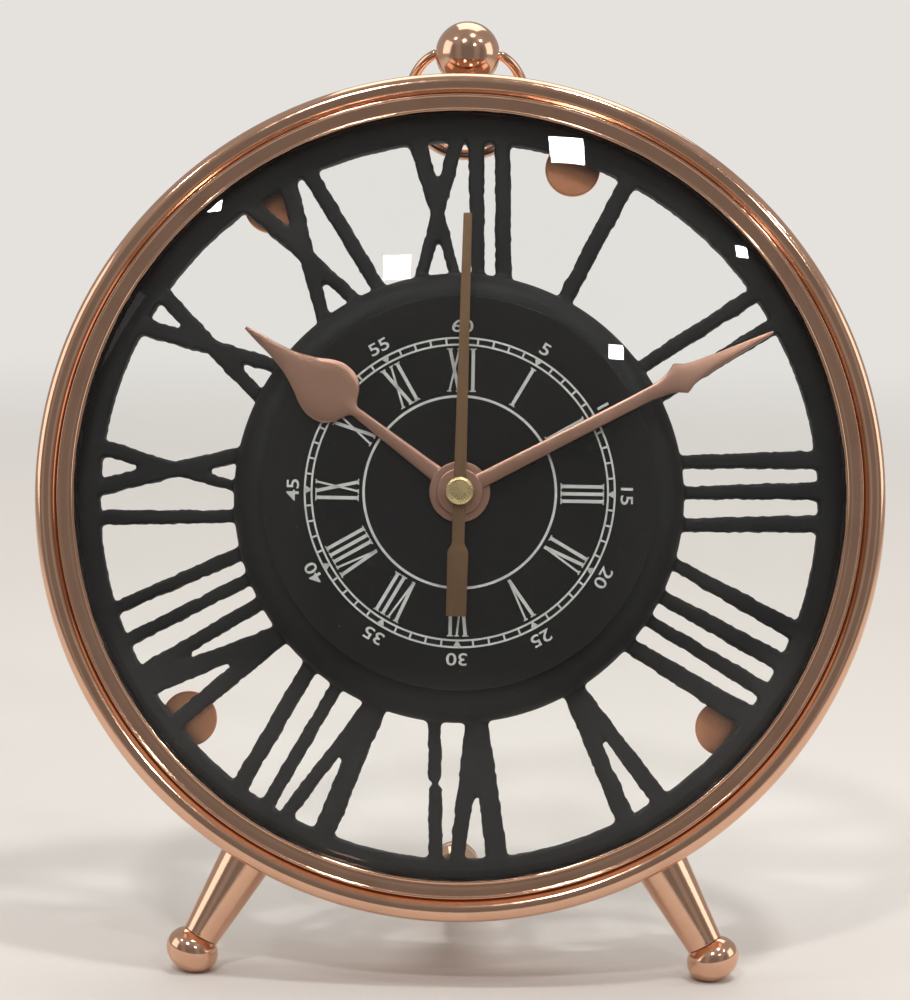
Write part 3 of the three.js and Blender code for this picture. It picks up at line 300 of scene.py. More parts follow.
class Finish:
    """A finish with its material and the record's slot that it stands for."""

    name: str
    slot: str

    def write(self, book: SurfaceBook) -> Wire:
        """Writes the finish and returns its shader."""
        raise NotImplementedError

    def material(self) -> bpy.types.Material:
        """The finish's material, written once.

        Returns:
            The material.
        """
        found = bpy.data.materials.get(self.name)
        if found:
            return found
        book = SurfaceBook(self.name)
        return book.close(self.write(book))


@dataclass(frozen=True)
class Metal(Finish):
    """A metal with polishing marks, faint tarnish and fine scratches."""

    name: str
    slot: str
    colour: Colour
    tarnish: Colour
    roughness: float
    marks: Grain
    tarnish_share: float = 0.35
    mark_depth: float = 0.004

    def write(self, book: SurfaceBook) -> Wire:
        """Writes the marks into roughness and relief, and the tarnish into the colour.

        Args:
            book: The material's book.

        Returns:
            The shader.
        """
        place = book.place()
        if self.marks is Grain.ROUND_THE_CASE:
            radius, angle, depth = book.round_place(place)
            lines = book.grain(book.join(radius * 5.0, angle * 9.0, depth * 5.0), 1.0, 3.0, 0.6)
        elif self.marks is Grain.BRUSHED:
            lines = book.grain(place, 9.0, 4.0, 0.7)
        else:
            lines = book.grain(book.vector("MULTIPLY", place, (3.0, 3.0, 0.8)), 1.5, 3.0, 0.6)
        clouds = book.grain(place, 0.09, 3.0, 0.55)
        smudges = book.grain(place, 0.35, 4.0, 0.6).ramp(0.45, 0.75)
        specks = 1 - book.cells(place, 0.8).ramp(0.02, 0.09)
        aged = clouds.ramp(0.42, 0.78) * self.tarnish_share + specks * 0.15
        colour = book.blend(aged, self.colour, self.tarnish)
        colour = book.blend(lines.ramp(0.3, 0.8) * 0.12, colour, self.tarnish)
        roughness = self.roughness * (0.8 + 0.4 * lines) + smudges * 0.05 + specks * 0.1
        return book.principled(
            {
                "Base Color": colour,
                "Metallic": 1.0,
                "Roughness": roughness,
                "Normal": book.bump(lines, self.mark_depth),
            }
        )


@dataclass(frozen=True)
class CastPaint(Finish):
    """Matt black paint over a rough casting, with dust in its grain and rubbed edges."""

    name: str = "cast_black"
    slot: str = "black_cast"
    colour: Colour = (0.0050, 0.0046, 0.0045)
    dust: Colour = (0.015, 0.016, 0.014)
    rubbed: Colour = (0.026, 0.029, 0.026)
    relief: float = 0.02

    def write(self, book: SurfaceBook) -> Wire:
        """Writes pits and grains, dust on what faces up and wear on the edges.

        Args:
            book: The material's book.

        Returns:
            The shader.
        """
        place = book.place()
        pits = book.grain(place, 1.1, 4.0, 0.6)
        grains = book.cells(place, 1.6)
        clouds = book.grain(place, 0.16, 3.0, 0.6)
        edges = book.node("ShaderNodeNewGeometry", output="Pointiness").ramp(0.52, 0.6)
        upward = book.split(book.node("ShaderNodeNewGeometry", output="Normal"))[2].ramp(0.3, 0.95)
        settled = (clouds.ramp(0.4, 0.7) * 0.35 + upward * 0.6) * pits.ramp(0.3, 0.7)
        colour = book.blend(settled * 0.7, self.colour, self.dust)
        colour = book.blend(edges * 0.55, colour, self.rubbed)
        height = pits * 0.7 + grains * 0.3
        return book.principled(
            {
                "Base Color": colour,
                "Roughness": 0.56 + 0.1 * pits + settled * 0.1,
                "Specular IOR Level": 0.16,
                "Normal": book.bump(height, self.relief, 0.4),
            }
        )


@dataclass(frozen=True)
class GlossPaint(Finish):
    """Gloss black lacquer with orange peel, a little dust and faint wipe marks."""

    name: str = "gloss_black"
    slot: str = "black_gloss"
    colour: Colour = (0.0065, 0.0060, 0.0060)
    dust: Colour = (0.10, 0.10, 0.095)
    relief: float = 0.01

    def write(self, book: SurfaceBook) -> Wire:
        """Writes the lacquer.

        Args:
            book: The material's book.

        Returns:
            The shader.
        """
        place = book.place()
        peel = book.grain(place, 0.5, 2.0, 0.5)
        wiped = book.grain(book.vector("MULTIPLY", place, (0.3, 1.0, 2.0)), 0.25, 4.0, 0.65)
        motes = 1 - book.cells(place, 0.33).ramp(0.02, 0.05)
        colour = book.blend(motes * 0.5, self.colour, self.dust)
        return book.principled(
            {
                "Base Color": colour,
                "Roughness": 0.1 + wiped.ramp(0.4, 0.8) * 0.12 + motes * 0.3,
                "Specular IOR Level": 0.25,
                "Coat Weight": 0.3,
                "Coat Roughness": 0.05,
                "Normal": book.bump(peel, self.relief, 0.6),
            }
        )


@dataclass(frozen=True)
class PrintWhite(Finish):
    """White printing ink, slightly uneven."""

    name: str = "print_white"
    slot: str = "black_gloss"
    colour: Colour = (0.42, 0.42, 0.395)
    thin: Colour = (0.29, 0.29, 0.27)
    relief: float = 0.01

    def write(self, book: SurfaceBook) -> Wire:
        """Writes the ink.

        Args:
            book: The material's book.

        Returns:
            The shader.
        """
        place = book.place()
        cover = book.grain(place, 2.4, 4.0, 0.7)
        colour = book.blend(cover.ramp(0.45, 0.75) * 0.6, self.colour, self.thin)
        normal = book.bump(cover, self.relief, 0.5)
        return book.principled({"Base Color": colour, "Roughness": 0.35 + 0.2 * cover, "Normal": normal})


@dataclass(frozen=True)
class DomeGlass(Finish):
    """Clear glass that lets lamp light through, faintly wavy and with a thin film in places."""

    name: str = "clear_glass"
    slot: str = "dome_glass"
    tint: Colour = (0.985, 0.995, 0.99)
    film: Colour = (0.965, 0.97, 0.965)
    waviness: float = 0.01

    def write(self, book: SurfaceBook) -> Wire:
        """Writes the glass, and a clear way through it for lamp light.

        Args:
            book: The material's book.

        Returns:
            The shader.
        """
        place = book.place()
        streaks = book.grain(book.vector("MULTIPLY", place, (1.0, 1.0, 0.4)), 0.08, 4.0, 0.6)
        glass = book.principled(
            {
                "Base Color": book.blend(streaks.ramp(0.5, 0.8), self.tint, self.film),
                "Roughness": 0.0,
                "IOR": 1.28,
                "Transmission Weight": 1.0,
                "Normal": book.bump(book.grain(place, 0.03, 1.0), self.waviness, 0.5),
            }
        )
        clear = book.node("ShaderNodeBsdfTransparent")
        lamp_light = book.node("ShaderNodeLightPath", output="Is Shadow Ray")
        return book.node("ShaderNodeMixShader", {0: lamp_light, 1: glass, 2: clear})


@dataclass(frozen=True)
class Moulded(Finish):
    """Moulded plastic or rubber, with a fine spark-eroded grain and flow clouds."""

    name: str
    slot: str
    colour: Colour
    shade: Colour
    roughness: float
    relief: float = 0.02

    def write(self, book: SurfaceBook) -> Wire:
        """Writes the grain.

        Args:
            book: The material's book.

        Returns:
            The shader.
        """
        place = book.place()
        grain = book.grain(place, 5.0, 3.0, 0.6)
        clouds = book.grain(place, 0.2, 2.0, 0.5)
        colour = book.blend(clouds.ramp(0.35, 0.75) * 0.5, self.colour, self.shade)
        return book.principled(
            {
                "Base Color": colour,
                "Roughness": self.roughness + 0.12 * (grain - 0.5),
                "Normal": book.bump(grain, self.relief, 0.7),
            }
        )


@dataclass(frozen=True)
class BoardFinish(Finish):
    """Green solder mask over a few copper tracks."""

    name: str = "solder_mask"
    slot: str = "green_board"
    mask: Colour = (0.010, 0.085, 0.030)
    track: Colour = (0.045, 0.190, 0.070)
    warp: float = 3.0
    track_pitch: float = 1.1
    relief: float = 0.04

    def write(self, book: SurfaceBook) -> Wire:
        """Writes the tracks as raised bands under the mask.

        Args:
            book: The material's book.

        Returns:
            The shader.
        """
        place = book.place()
        x, _, z = book.split(place)
        warp = book.grain(place, 0.3, 0.0) * self.warp
        bands = book.math("PINGPONG", x + z * 0.5 + warp, self.track_pitch).ramp(0.55, 0.7)
        colour = book.blend(bands, self.mask, self.track)
        normal = book.bump(bands, self.relief, 0.6)
        return book.principled({"Base Color": colour, "Roughness": 0.3 + 0.1 * bands, "Normal": normal})


@dataclass(frozen=True)
class SleeveFinish(Finish):
    """The cell's printed sleeve: a plain dark body with a pale band and bare steel at its ends."""

    name: str = "printed_sleeve"
    slot: str = "cell_sleeve"
    body: Colour = (0.022, 0.045, 0.085)
    band: Colour = (0.50, 0.50, 0.48)
    steel: Colour = (0.58, 0.58, 0.57)
    half_length: float = CELL_HALF_LENGTH
    cap_width: float = 1.75
    base_width: float = 0.5
    seam: float = 0.05
    band_start: float = 10.2
    band_end: float = 20.6
    band_seam: float = 0.2
    band_waver: float = 0.25
    relief: float = 0.01

    def write(self, book: SurfaceBook) -> Wire:
        """Writes the sleeve along the cell's length.

        Args:
            book: The material's book.

        Returns:
            The shader.
        """
        place = book.place()
        x, _, _ = book.split(place)
        scuffs = book.grain(book.vector("MULTIPLY", place, (0.3, 2.0, 2.0)), 1.2, 4.0, 0.7)
        waver = x + self.band_waver * (scuffs - 0.5)
        pale = waver.ramp(self.band_start, self.band_start + self.band_seam)
        pale = pale * (1 - x.ramp(self.band_end, self.band_end + self.band_seam))
        cap = self.half_length - self.cap_width
        base = self.base_width - self.half_length
        bare = x.ramp(cap, cap + self.seam) + (1 - x.ramp(base, base + self.seam))
        colour = book.blend(pale, self.body, self.band)
        colour = book.blend(scuffs.ramp(0.62, 0.8) * 0.25, colour, self.steel)
        colour = book.blend(bare, colour, self.steel)
        return book.principled(
            {
                "Base Color": colour,
                "Metallic": bare,
                "Roughness": 0.28 + 0.15 * scuffs,
                "Normal": book.bump(scuffs, self.relief, 0.5),
            }
        )


@dataclass(frozen=True)
class PaleGround(Finish):
    """The plain pale ground, which fades into the pale surroundings."""

    name: str = "pale_ground"
    colour: Colour = (0.75, 0.715, 0.675)
    shade: Colour = (0.715, 0.68, 0.64)
    fade_start: float = 0.35
    fade_end: float = 1.5
    dim_start: float = 0.09
    dim_end: float = 0.32
    weave: float = 0.05

    def write(self, book: SurfaceBook) -> Wire:
        """Writes a faintly uneven matt ground near the clock and plain paleness further off.

        Args:
            book: The material's book.

        Returns:
            The shader.
        """
        here = book.node("ShaderNodeTexCoord", output="Object")
        clouds = book.grain(here, 3.0, 2.0, 0.5)
        weave = book.grain(here, 700.0, 1.0, 0.5)
        near = book.principled(
            {
                "Base Color": book.blend(clouds.ramp(0.3, 0.7), self.colour, self.shade),
                "Roughness": 0.9,
                "Specular IOR Level": 0.1,
                "Normal": book.bump(weave, self.weave, 0.25),
            }
        )
        away = book.node("ShaderNodeVectorMath", {0: here}, operation="NORMALIZE")
        strength, mirrored = surroundings_strength(book, away)
        far = book.node("ShaderNodeEmission", {"Color": (*SURROUNDINGS, 1.0), "Strength": strength})
        distance = book.node("ShaderNodeVectorMath", {0: here}, "Value", operation="LENGTH")
        ahead = 0 - book.split(here)[1]
        dimmed = mirrored * ahead.ramp(self.dim_start, self.dim_end)
        faded = book.math("MAXIMUM", distance.ramp(self.fade_start, self.fade_end), dimmed)
        return book.node("ShaderNodeMixShader", {0: faded, 1: near, 2: far})


BRIGHT_COPPER = Metal(
    "bright_copper", "polished_copper", (0.76, 0.465, 0.325), (0.52, 0.30, 0.19), 0.10, Grain.ROUND_THE_CASE
)
TURNED_COPPER = Metal(
    "turned_copper", "polished_copper", (0.76, 0.465, 0.325), (0.52, 0.30, 0.19), 0.12, Grain.SCATTERED
)
# The clips get a brighter, oranger copy of the case copper: painted light, so that they look lit by the lamps
# above.
LIT_CLIP_COPPER = Metal(
    "lit_clip_copper", "polished_copper", (0.80, 0.36, 0.20), (0.50, 0.20, 0.09), 0.36, Grain.SCATTERED, 0.5, 0.02
)
HAND_COPPER = Metal(
    "hand_copper", "satin_copper", (0.44, 0.255, 0.185), (0.30, 0.16, 0.11), 0.32, Grain.BRUSHED, 0.5, 0.012
)
SECOND_BRONZE = Metal(
    "second_bronze", "satin_copper", (0.215, 0.13, 0.072), (0.145, 0.085, 0.045), 0.36, Grain.BRUSHED, 0.5,
    0.012,
)
CAP_BRASS = Metal(
    "cap_brass", "bare_brass", (0.76, 0.60, 0.32), (0.55, 0.41, 0.19), 0.27, Grain.ROUND_THE_CASE
)
PLATED_STEEL = Metal(
    "plated_steel", "steel", (0.60, 0.61, 0.62), (0.42, 0.43, 0.46), 0.26, Grain.SCATTERED
)
SPRING_BRASS = Metal(
    "spring_brass", "bare_brass", (0.74, 0.58, 0.28), (0.48, 0.34, 0.14), 0.30, Grain.SCATTERED
)
COIL_WIRE = Metal("coil_wire", "winding", (0.62, 0.27, 0.12), (0.40, 0.15, 0.06), 0.30, Grain.SCATTERED)
CAST_BLACK = CastPaint()
GLOSS_BLACK = GlossPaint()
WHITE_INK = PrintWhite()
CLEAR_GLASS = DomeGlass()
BLACK_MOULDED = Moulded("moulded_black", "black_plastic", (0.012, 0.012, 0.013), (0.020, 0.020, 0.021), 0.42)
WHITE_MOULDED = Moulded("moulded_white", "white_plastic", (0.72, 0.71, 0.66), (0.64, 0.63, 0.57), 0.40)
BLACK_RUBBER = Moulded("black_rubber", "rubber", (0.014, 0.014, 0.014), (0.026, 0.026, 0.025), 0.75, 0.03)
GREEN_BOARD = BoardFinish()
CELL_SLEEVE = SleeveFinish()
PALE_GROUND = PaleGround()


# Shapes


def placed(name: str, data: bpy.types.ID) -> bpy.types.Object:
    """Puts a new object into the scene.

    Args:
        name: The object's name.
        data: The mesh, curve, lamp or camera that it shows.

    Returns:
        The object.
    """
    thing = bpy.data.objects.new(name, data)
    bpy.context.scene.collection.objects.link(thing)
    return thing


def tidy(work: bmesh.types.BMesh) -> Mesh:
    """Merges doubles, turns the faces outwards and returns the mesh.

    Args:
        work: The faces so far. They are freed.

    Returns:
        The finished mesh.
    """
    bmesh.ops.remove_doubles(work, verts=work.verts, dist=MERGE_REACH)
    bmesh.ops.recalc_face_normals(work, faces=work.faces)
    mesh = bpy.data.meshes.new("shape")
    work.to_mesh(mesh)
    work.free()
    return mesh


def rounded(corners: Sequence[Corner], parts: int = 5, closed: bool = True) -> list[Point]:
    """Rounds the corners of an outline.

    Args:
        corners: The place of each corner and how far its rounding reaches along its sides.
        parts: How many sides each rounding has.
        closed: Whether the outline closes on itself.

    Returns:
        The rounded outline.
    """
    count = len(corners)
    points: list[Point] = []
    for i, (x, y, reach) in enumerate(corners):
        here = Vector((x, y))
        if reach == 0 or (not closed and i in (0, count - 1)):
            points.append((x, y))
            continue
        before = Vector(corners[i - 1][:2]) - here
        after = Vector(corners[(i + 1) % count][:2]) - here
        reach = min(reach, before.length * 0.49, after.length * 0.49)
        start = here + before.normalized() * reach
        end = here + after.normalized() * reach
        for j in range(parts + 1):
            t = j / parts
            point = start * (1 - t) ** 2 + here * (2 * t * (1 - t)) + end * t**2
            points.append((point.x, point.y))
    return points


def arc(centre: Point, radius: float, start: float, end: float, parts: int) -> list[Corner]:
    """Corners on an arc round a centre, from one angle in degrees to another, none of them rounded."""
    turns = [math.radians(start + (end - start) * i / parts) for i in range(parts + 1)]
    return [(centre[0] + radius * math.cos(t), centre[1] + radius * math.sin(t), 0.0) for t in turns]


def rectangle(width: float, height: float, centre: Point = (0.0, 0.0)) -> list[Point]:
    """The corners of a rectangle round a centre.

    Args:
        width: Its size along the first axis.
        height: Its size along the second axis.
        centre: Its centre.

    Returns:
        The outline.
    """
    x, y = centre
    half, rise = width / 2, height / 2
    return [(x - half, y - rise), (x + half, y - rise), (x + half, y + rise), (x - half, y + rise)]


def limited(value: float) -> float:
    """The value, kept between 0 and 1."""
    return min(1.0, max(0.0, value))


def cornered(points: Sequence[Point], reaches: Sequence[float]) -> list[Corner]:
    """Corners, from their places and how far the rounding of each reaches."""
    return [(x, y, reach) for (x, y), reach in zip(points, reaches)]


def lathe(section: Sequence[Point], steps: int = SMALL_STEPS) -> Mesh:
    """Turns a closed section of radius and depth points round the Y axis.

    Args:
        section: The section's radius and depth points.
        steps: How many sides a turn has.

    Returns:
        The turned mesh.
    """
    work = bmesh.new()
    rings = []
    for radius, depth in section:
        if radius < HAIR:
            rings.append([work.verts.new((0, depth, 0))] * steps)
            continue
        turns = [TURN * i / steps for i in range(steps)]
        rings.append([work.verts.new((radius * math.sin(t), depth, radius * math.cos(t))) for t in turns])
    for ring, other in zip(rings, rings[1:] + rings[:1]):
        for i in range(steps):
            k = (i + 1) % steps
            corners = list(dict.fromkeys([ring[i], ring[k], other[k], other[i]]))
            if len(corners) > 2:
                work.faces.new(corners)
    return tidy(work)


def turned(points: Sequence[Point], reaches: Sequence[float], steps: int = SMALL_STEPS) -> Mesh:
    """A turned shape, from its section's corners and how far the rounding of each reaches."""
    return lathe(rounded(cornered(points, reaches)), steps)


def plate(outline: Sequence[Point], front: float, back: float, bevel: float = 0.0) -> Mesh:
    """A flat plate in the XZ plane between two depths, with bevelled rims.

    Args:
        outline: The X and Z of its corners.
        front: The depth of its front.
        back: The depth of its back.
        bevel: The bevel's width, or 0 for none.

    Returns:
        The plate.
    """
    work = bmesh.new()
    face = work.faces.new([work.verts.new((x, front, z)) for x, z in outline])
    grown = bmesh.ops.extrude_face_region(work, geom=[face])["geom"]
    moved = [part for part in grown if isinstance(part, bmesh.types.BMVert)]
    bmesh.ops.translate(work, verts=moved, vec=(0, back - front, 0))
    bmesh.ops.recalc_face_normals(work, faces=work.faces)
    if bevel > 0:
        rims = [
            edge for edge in work.edges
            if abs(edge.verts[0].co.y - edge.verts[1].co.y) < HAIR
            and len(edge.link_faces) == 2 and edge.calc_face_angle(0) > 1
        ]
        bmesh.ops.bevel(work, geom=rims, offset=bevel, segments=3, profile=0.5, affect="EDGES")
    bmesh.ops.triangulate(work, faces=[face for face in work.faces if len(face.verts) > 4])
    return tidy(work)


def tube(points: Sequence[Vector], radii: Sequence[float], sides: int, closed: bool) -> Mesh:
    """A round tube along points, with its own radius at each, closed on itself or capped.

    Args:
        points: Its middle line, in one plane across Y.
        radii: Its radius at each point.
        sides: How many sides it has.
        closed: Whether it closes on itself.

    Returns:
        The tube.
    """
    work = bmesh.new()
    count = len(points)
    rings = []
    side = Vector((0, 1, 0))
    for i, point in enumerate(points):
        before = points[i - 1] if closed or i > 0 else point
        after = points[(i + 1) % count] if closed or i < count - 1 else point
        along = (after - before).normalized()
        outward = along.cross(side).normalized()
        across = outward.cross(along).normalized()
        turns = [TURN * j / sides for j in range(sides)]
        rings.append(
            [work.verts.new(point + radii[i] * (outward * math.cos(t) + across * math.sin(t))) for t in turns]
        )
    pairs = list(zip(rings, rings[1:] + rings[:1])) if closed else list(zip(rings, rings[1:]))
    for ring, other in pairs:
        for j in range(sides):
            k = (j + 1) % sides
            work.faces.new((ring[j], ring[k], other[k], other[j]))
    if not closed:
        work.faces.new(rings[0])
        work.faces.new(rings[-1])
    return tidy(work)


def joined(meshes: Iterable[Mesh]) -> Mesh:
    """One mesh that holds several.

    Args:
        meshes: The meshes. They are removed.

    Returns:
        The whole.
    """
    work = bmesh.new()
    for mesh in meshes:
        work.from_mesh(mesh)
        bpy.data.meshes.remove(mesh)
    whole = bpy.data.meshes.new("shape")
    work.to_mesh(whole)
    work.free()
    return whole


def moved(mesh: Mesh, matrix: Matrix) -> Mesh:
    """The same mesh, moved."""
    mesh.transform(matrix)
    return mesh


def smooth_curve(points: Sequence[Vector], parts: int, closed: bool) -> list[Vector]:
    """Points on a smooth curve through the given points, with parts of them to each stretch.

    Args:
        points: The points it runs through.
        parts: The parts of each stretch.
        closed: Whether it closes on itself.

    Returns:
        The points of the curve.
    """
    count = len(points)
    spans = count if closed else count - 1
    curve = []
    for i in range(spans):
        if closed:
            a, b, c, d = (points[(i + k) % count] for k in (-1, 0, 1, 2))
        else:
            a, b, c, d = (points[min(max(i + k, 0), count - 1)] for k in (-1, 0, 1, 2))
        for j in range(parts):
            t = j / parts
            curve.append(
                0.5 * (2 * b + (c - a) * t + (2 * a - 5 * b + 4 * c - d) * t**2
                       + (3 * b - a - 3 * c + d) * t**3)
            )
    if not closed:
        curve.append(points[-1].copy())
    return curve


def aimed(direction: Vector, origin: Vector) -> Matrix:
    """Turns +Y to a direction and moves the origin to a point."""
    turn = Vector((0, 1, 0)).rotation_difference(direction.normalized())
    return Matrix.Translation(origin) @ turn.to_matrix().to_4x4()


def clock_turn(angle: float) -> Matrix:
    """Turns a shape clockwise round the clock's axis, by an angle in degrees."""
    return Matrix.Rotation(math.radians(angle), 4, "Y")


def at_clock(radius: float, angle: float) -> Point:
    """The X and Z of a point at a clock angle in degrees."""
    return radius * math.sin(math.radians(angle)), radius * math.cos(math.radians(angle))


def with_modifier(mesh: Mesh, kind: str, **settings) -> Mesh:
    """The mesh with one modifier applied to it.

    Args:
        mesh: The mesh.
        kind: The modifier's type.
        settings: The modifier's settings.

    Returns:
        The changed mesh.
    """
    host = placed("host", mesh)
    modifier = host.modifiers.new(kind, kind)
    for name, value in settings.items():
        setattr(modifier, name, value)
    shape = bpy.data.meshes.new_from_object(host.evaluated_get(bpy.context.evaluated_depsgraph_get()))
    bpy.data.objects.remove(host)
    return shape


def cut(mesh: Mesh, tool: Mesh) -> Mesh:
    """The mesh with a tool's volume taken out of it.

    Args:
        mesh: The mesh that is cut.
        tool: The volume that is taken away.

    Returns:
        What is left.
    """
    cutter = placed("cutter", tool)
    left = with_modifier(mesh, "BOOLEAN", object=cutter, operation="DIFFERENCE", solver="EXACT")
    bpy.data.objects.remove(cutter)
    return left


def softened(node: str, width: float) -> Mesh:
    """A copy of a frame node with its doubles merged and its sharp edges bevelled.

    Args:
        node: The frame node.
        width: The bevel's width in millimetres.

    Returns:
        The mesh in the clock's own space.
    """
    work = bmesh.new()
    work.from_mesh(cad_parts[node].data)
    bmesh.ops.remove_doubles(work, verts=work.verts, dist=PACKED_MERGE_REACH)
    bmesh.ops.dissolve_limit(work, angle_limit=math.radians(0.5), verts=work.verts, edges=work.edges)
    mesh = bpy.data.meshes.new("shape")
    work.to_mesh(mesh)
    work.free()
    mesh.transform(CLOCK.inverted())
    return with_modifier(
        mesh, "BEVEL", width=width, segments=2, limit_method="ANGLE",
        angle_limit=math.radians(30), harden_normals=False,
    )


# Geometry node trees


class ShapeBook(NodeBook):
    """Writes a geometry node tree with named inputs, and grows a mesh from it."""

    def __init__(self, name: str) -> None:
        """Starts an empty tree of that name.

        Args:
            name: The tree's name.
        """
        tree = bpy.data.node_groups.new(name, "GeometryNodeTree")
        super().__init__(tree)
        tree.interface.new_socket("Geometry", in_out="OUTPUT", socket_type="NodeSocketGeometry")
        tree.interface.new_socket("Host", in_out="INPUT", socket_type="NodeSocketGeometry")
        self.entry = tree.nodes.new("NodeGroupInput")
        self.values: dict[str, object] = {}

    def input(self, name: str, value: object) -> Wire:
        """A named input of the tree: a length, a count, a material or an object.

        Args:
            name: The input's name.
            value: The value that it is set to.

        Returns:
            The input, to be wired on.
        """
        kinds = {int: "NodeSocketInt", float: "NodeSocketFloat", bpy.types.Material: "NodeSocketMaterial"}
        kind = kinds.get(type(value), "NodeSocketObject")
        socket = self.tree.interface.new_socket(name, in_out="INPUT", socket_type=kind)
        self.values[socket.identifier] = value
        return Wire(self, self.entry.outputs[name])

    def host(self) -> Wire:
        """The geometry of the object that the tree stands on."""
        return Wire(self, self.entry.outputs["Host"])

    def grow(self, shape: Wire, finish: Finish, host: Mesh | None = None) -> Mesh:
        """Ends the tree and turns its result into a plain mesh.

        Args:
            shape: The tree's geometry.
            finish: The finish that its faces get.
            host: The mesh that the tree stands on, if it reads one.

        Returns:
            The plain mesh.
        """
        real = self.node("GeometryNodeRealizeInstances", {0: shape})
        dressed = self.node(
            "GeometryNodeSetMaterial", {0: real, "Material": self.input("Material", finish.material())}
        )
        self.node("NodeGroupOutput", {0: dressed})
        stand = placed("stand", host or bpy.data.meshes.new("stand"))
        modifier = stand.modifiers.new("grow", "NODES")
        modifier.node_group = self.tree
        for identifier, value in self.values.items():
            modifier[identifier] = value
        grown = stand.evaluated_get(bpy.context.evaluated_depsgraph_get())
        mesh = bpy.data.meshes.new_from_object(grown)
        stand.modifiers.clear()
        bpy.data.objects.remove(stand)
        return mesh


def point_mesh(points: Sequence[Vector], chained: bool = False) -> Mesh:
    """A mesh of loose points, or of points chained into one open line.

    Args:
        points: The points.
        chained: Whether edges join them.

    Returns:
        The mesh.
    """
    mesh = bpy.data.meshes.new("points")
    edges = [(i, i + 1) for i in range(len(points) - 1)] if chained else []
    mesh.from_pydata([tuple(point) for point in points], edges, [])
    return mesh


# Putting pieces into the scene


class Bench:
    """Puts finished meshes and better materials on the frame."""

    def add(
        self,
        name: str,
        mesh: Mesh,
        finish: Finish,
        body: str,
        stands_for: Sequence[str] = (),
        sharp: float = 35.0,
    ) -> bpy.types.Object:
        """Adds one piece from a mesh in the clock's own space.

        Args:
            name: The piece's name.
            mesh: Its mesh, in millimetres.
            finish: Its finish.
            body: The frame body that it rides on.
            stands_for: The frame nodes that it replaces.
            sharp: The angle in degrees past which an edge stays sharp.

        Returns:
            The piece's object.
        """
        mesh.transform(CLOCK)
        mesh.name = name
        mesh.materials.clear()
        mesh.materials.append(finish.material())
        mesh.shade_smooth()
        mesh.set_sharp_from_angle(angle=math.radians(sharp))
        piece = placed(name, mesh)
        if stands_for:
            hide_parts(*stands_for)
        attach(piece, body)
        triangles = sum(len(face.vertices) - 2 for face in mesh.polygons)
        log.info("%s: %d triangles, on %s", name, triangles, body)
        return piece

    def dress(self, finish: Finish, *nodes: str) -> None:
        """Gives frame nodes a better material.

        Args:
            finish: The better material's finish.
            nodes: The frame nodes.
        """
        for node in nodes:
            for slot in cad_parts[node].material_slots:
                slot.material = finish.material()
            log.info("%s: frame node in %s", node, finish.name)


@dataclass
class Bezel:
    """The front ring: a half-round bead, a thin crest, a shallow valley and a rolled lip."""

    radius: float = 76.0
    bead_radius: float = 2.05
    bead_depth: float = 3.0
    crest_radius: float = 71.55
    crest_depth: float = 0.45
    lip_radius: float = 68.6
    lip_roll: float = 0.3
    lip_lift: float = 0.02
    lip_depth: float = 0.9
    rebate_radius: float = 70.0
    rebate_back: float = 5.55
    seat_radius: float = 74.85
    back: float = 8.25
    crest: tuple[Corner, ...] = (
        (0.32, 1.15, 0.2),
        (0.22, 0.0, 0.16),
        (-0.08, 0.0, 0.14),
        (-0.26, 0.2, 0.1),
        (-1.25, 0.27, 0.8),
        (-2.25, 0.58, 0.15),
    )
    inner_rounds: tuple[float, ...] = (0.1, 0.0, 0.1, 0.1, 0.15, 0.35)

    def section(self) -> list[Point]:
        """The ring's section as radius and depth.

        Returns:
            The section's points.
        """
        bead = arc((self.radius - self.bead_radius, self.bead_depth), self.bead_radius, 0, -158, 14)
        front = [(self.crest_radius + out, self.crest_depth + back, reach) for out, back, reach in self.crest]
        middle = (self.lip_radius + self.lip_roll, self.lip_roll + self.lip_lift)
        roll = arc(middle, self.lip_roll, -10, -200, 10)
        inside = [
            (self.lip_radius, self.lip_depth),
            (self.rebate_radius, self.lip_depth),
            (self.rebate_radius, self.rebate_back),
            (self.seat_radius, self.rebate_back),
            (self.seat_radius, self.back),
            (self.radius, self.back),
        ]
        return rounded([*bead, *front, *roll, *cornered(inside, self.inner_rounds)])

    def build(self, bench: Bench) -> None:
        """Sweeps the section round its circle with a node tree, and adds the ring.

        Args:
            bench: Where the pieces go.
        """
        book = ShapeBook("bezel_sweep")
        radius = book.input("Ring Radius", self.lip_radius)
        steps = book.input("Steps", SMOOTH_STEPS)
        section = [Vector((r - self.lip_radius, -y, 0)) for r, y in self.section()]
        line = point_mesh([*section, section[0]], chained=True)
        profile = book.node("GeometryNodeMeshToCurve", {0: book.host()})
        circle = book.node("GeometryNodeCurvePrimitiveCircle", {"Resolution": steps, "Radius": radius})
        swept = book.node("GeometryNodeCurveToMesh", {"Curve": circle, "Profile Curve": profile})
        mesh = book.grow(swept, BRIGHT_COPPER, line)
        mesh.transform(Matrix.Rotation(math.radians(-90), 4, "X"))
        work = bmesh.new()
        work.from_mesh(mesh)
        bench.add("bezel", tidy(work), BRIGHT_COPPER, CASE, ["bezel_ring"], 50)


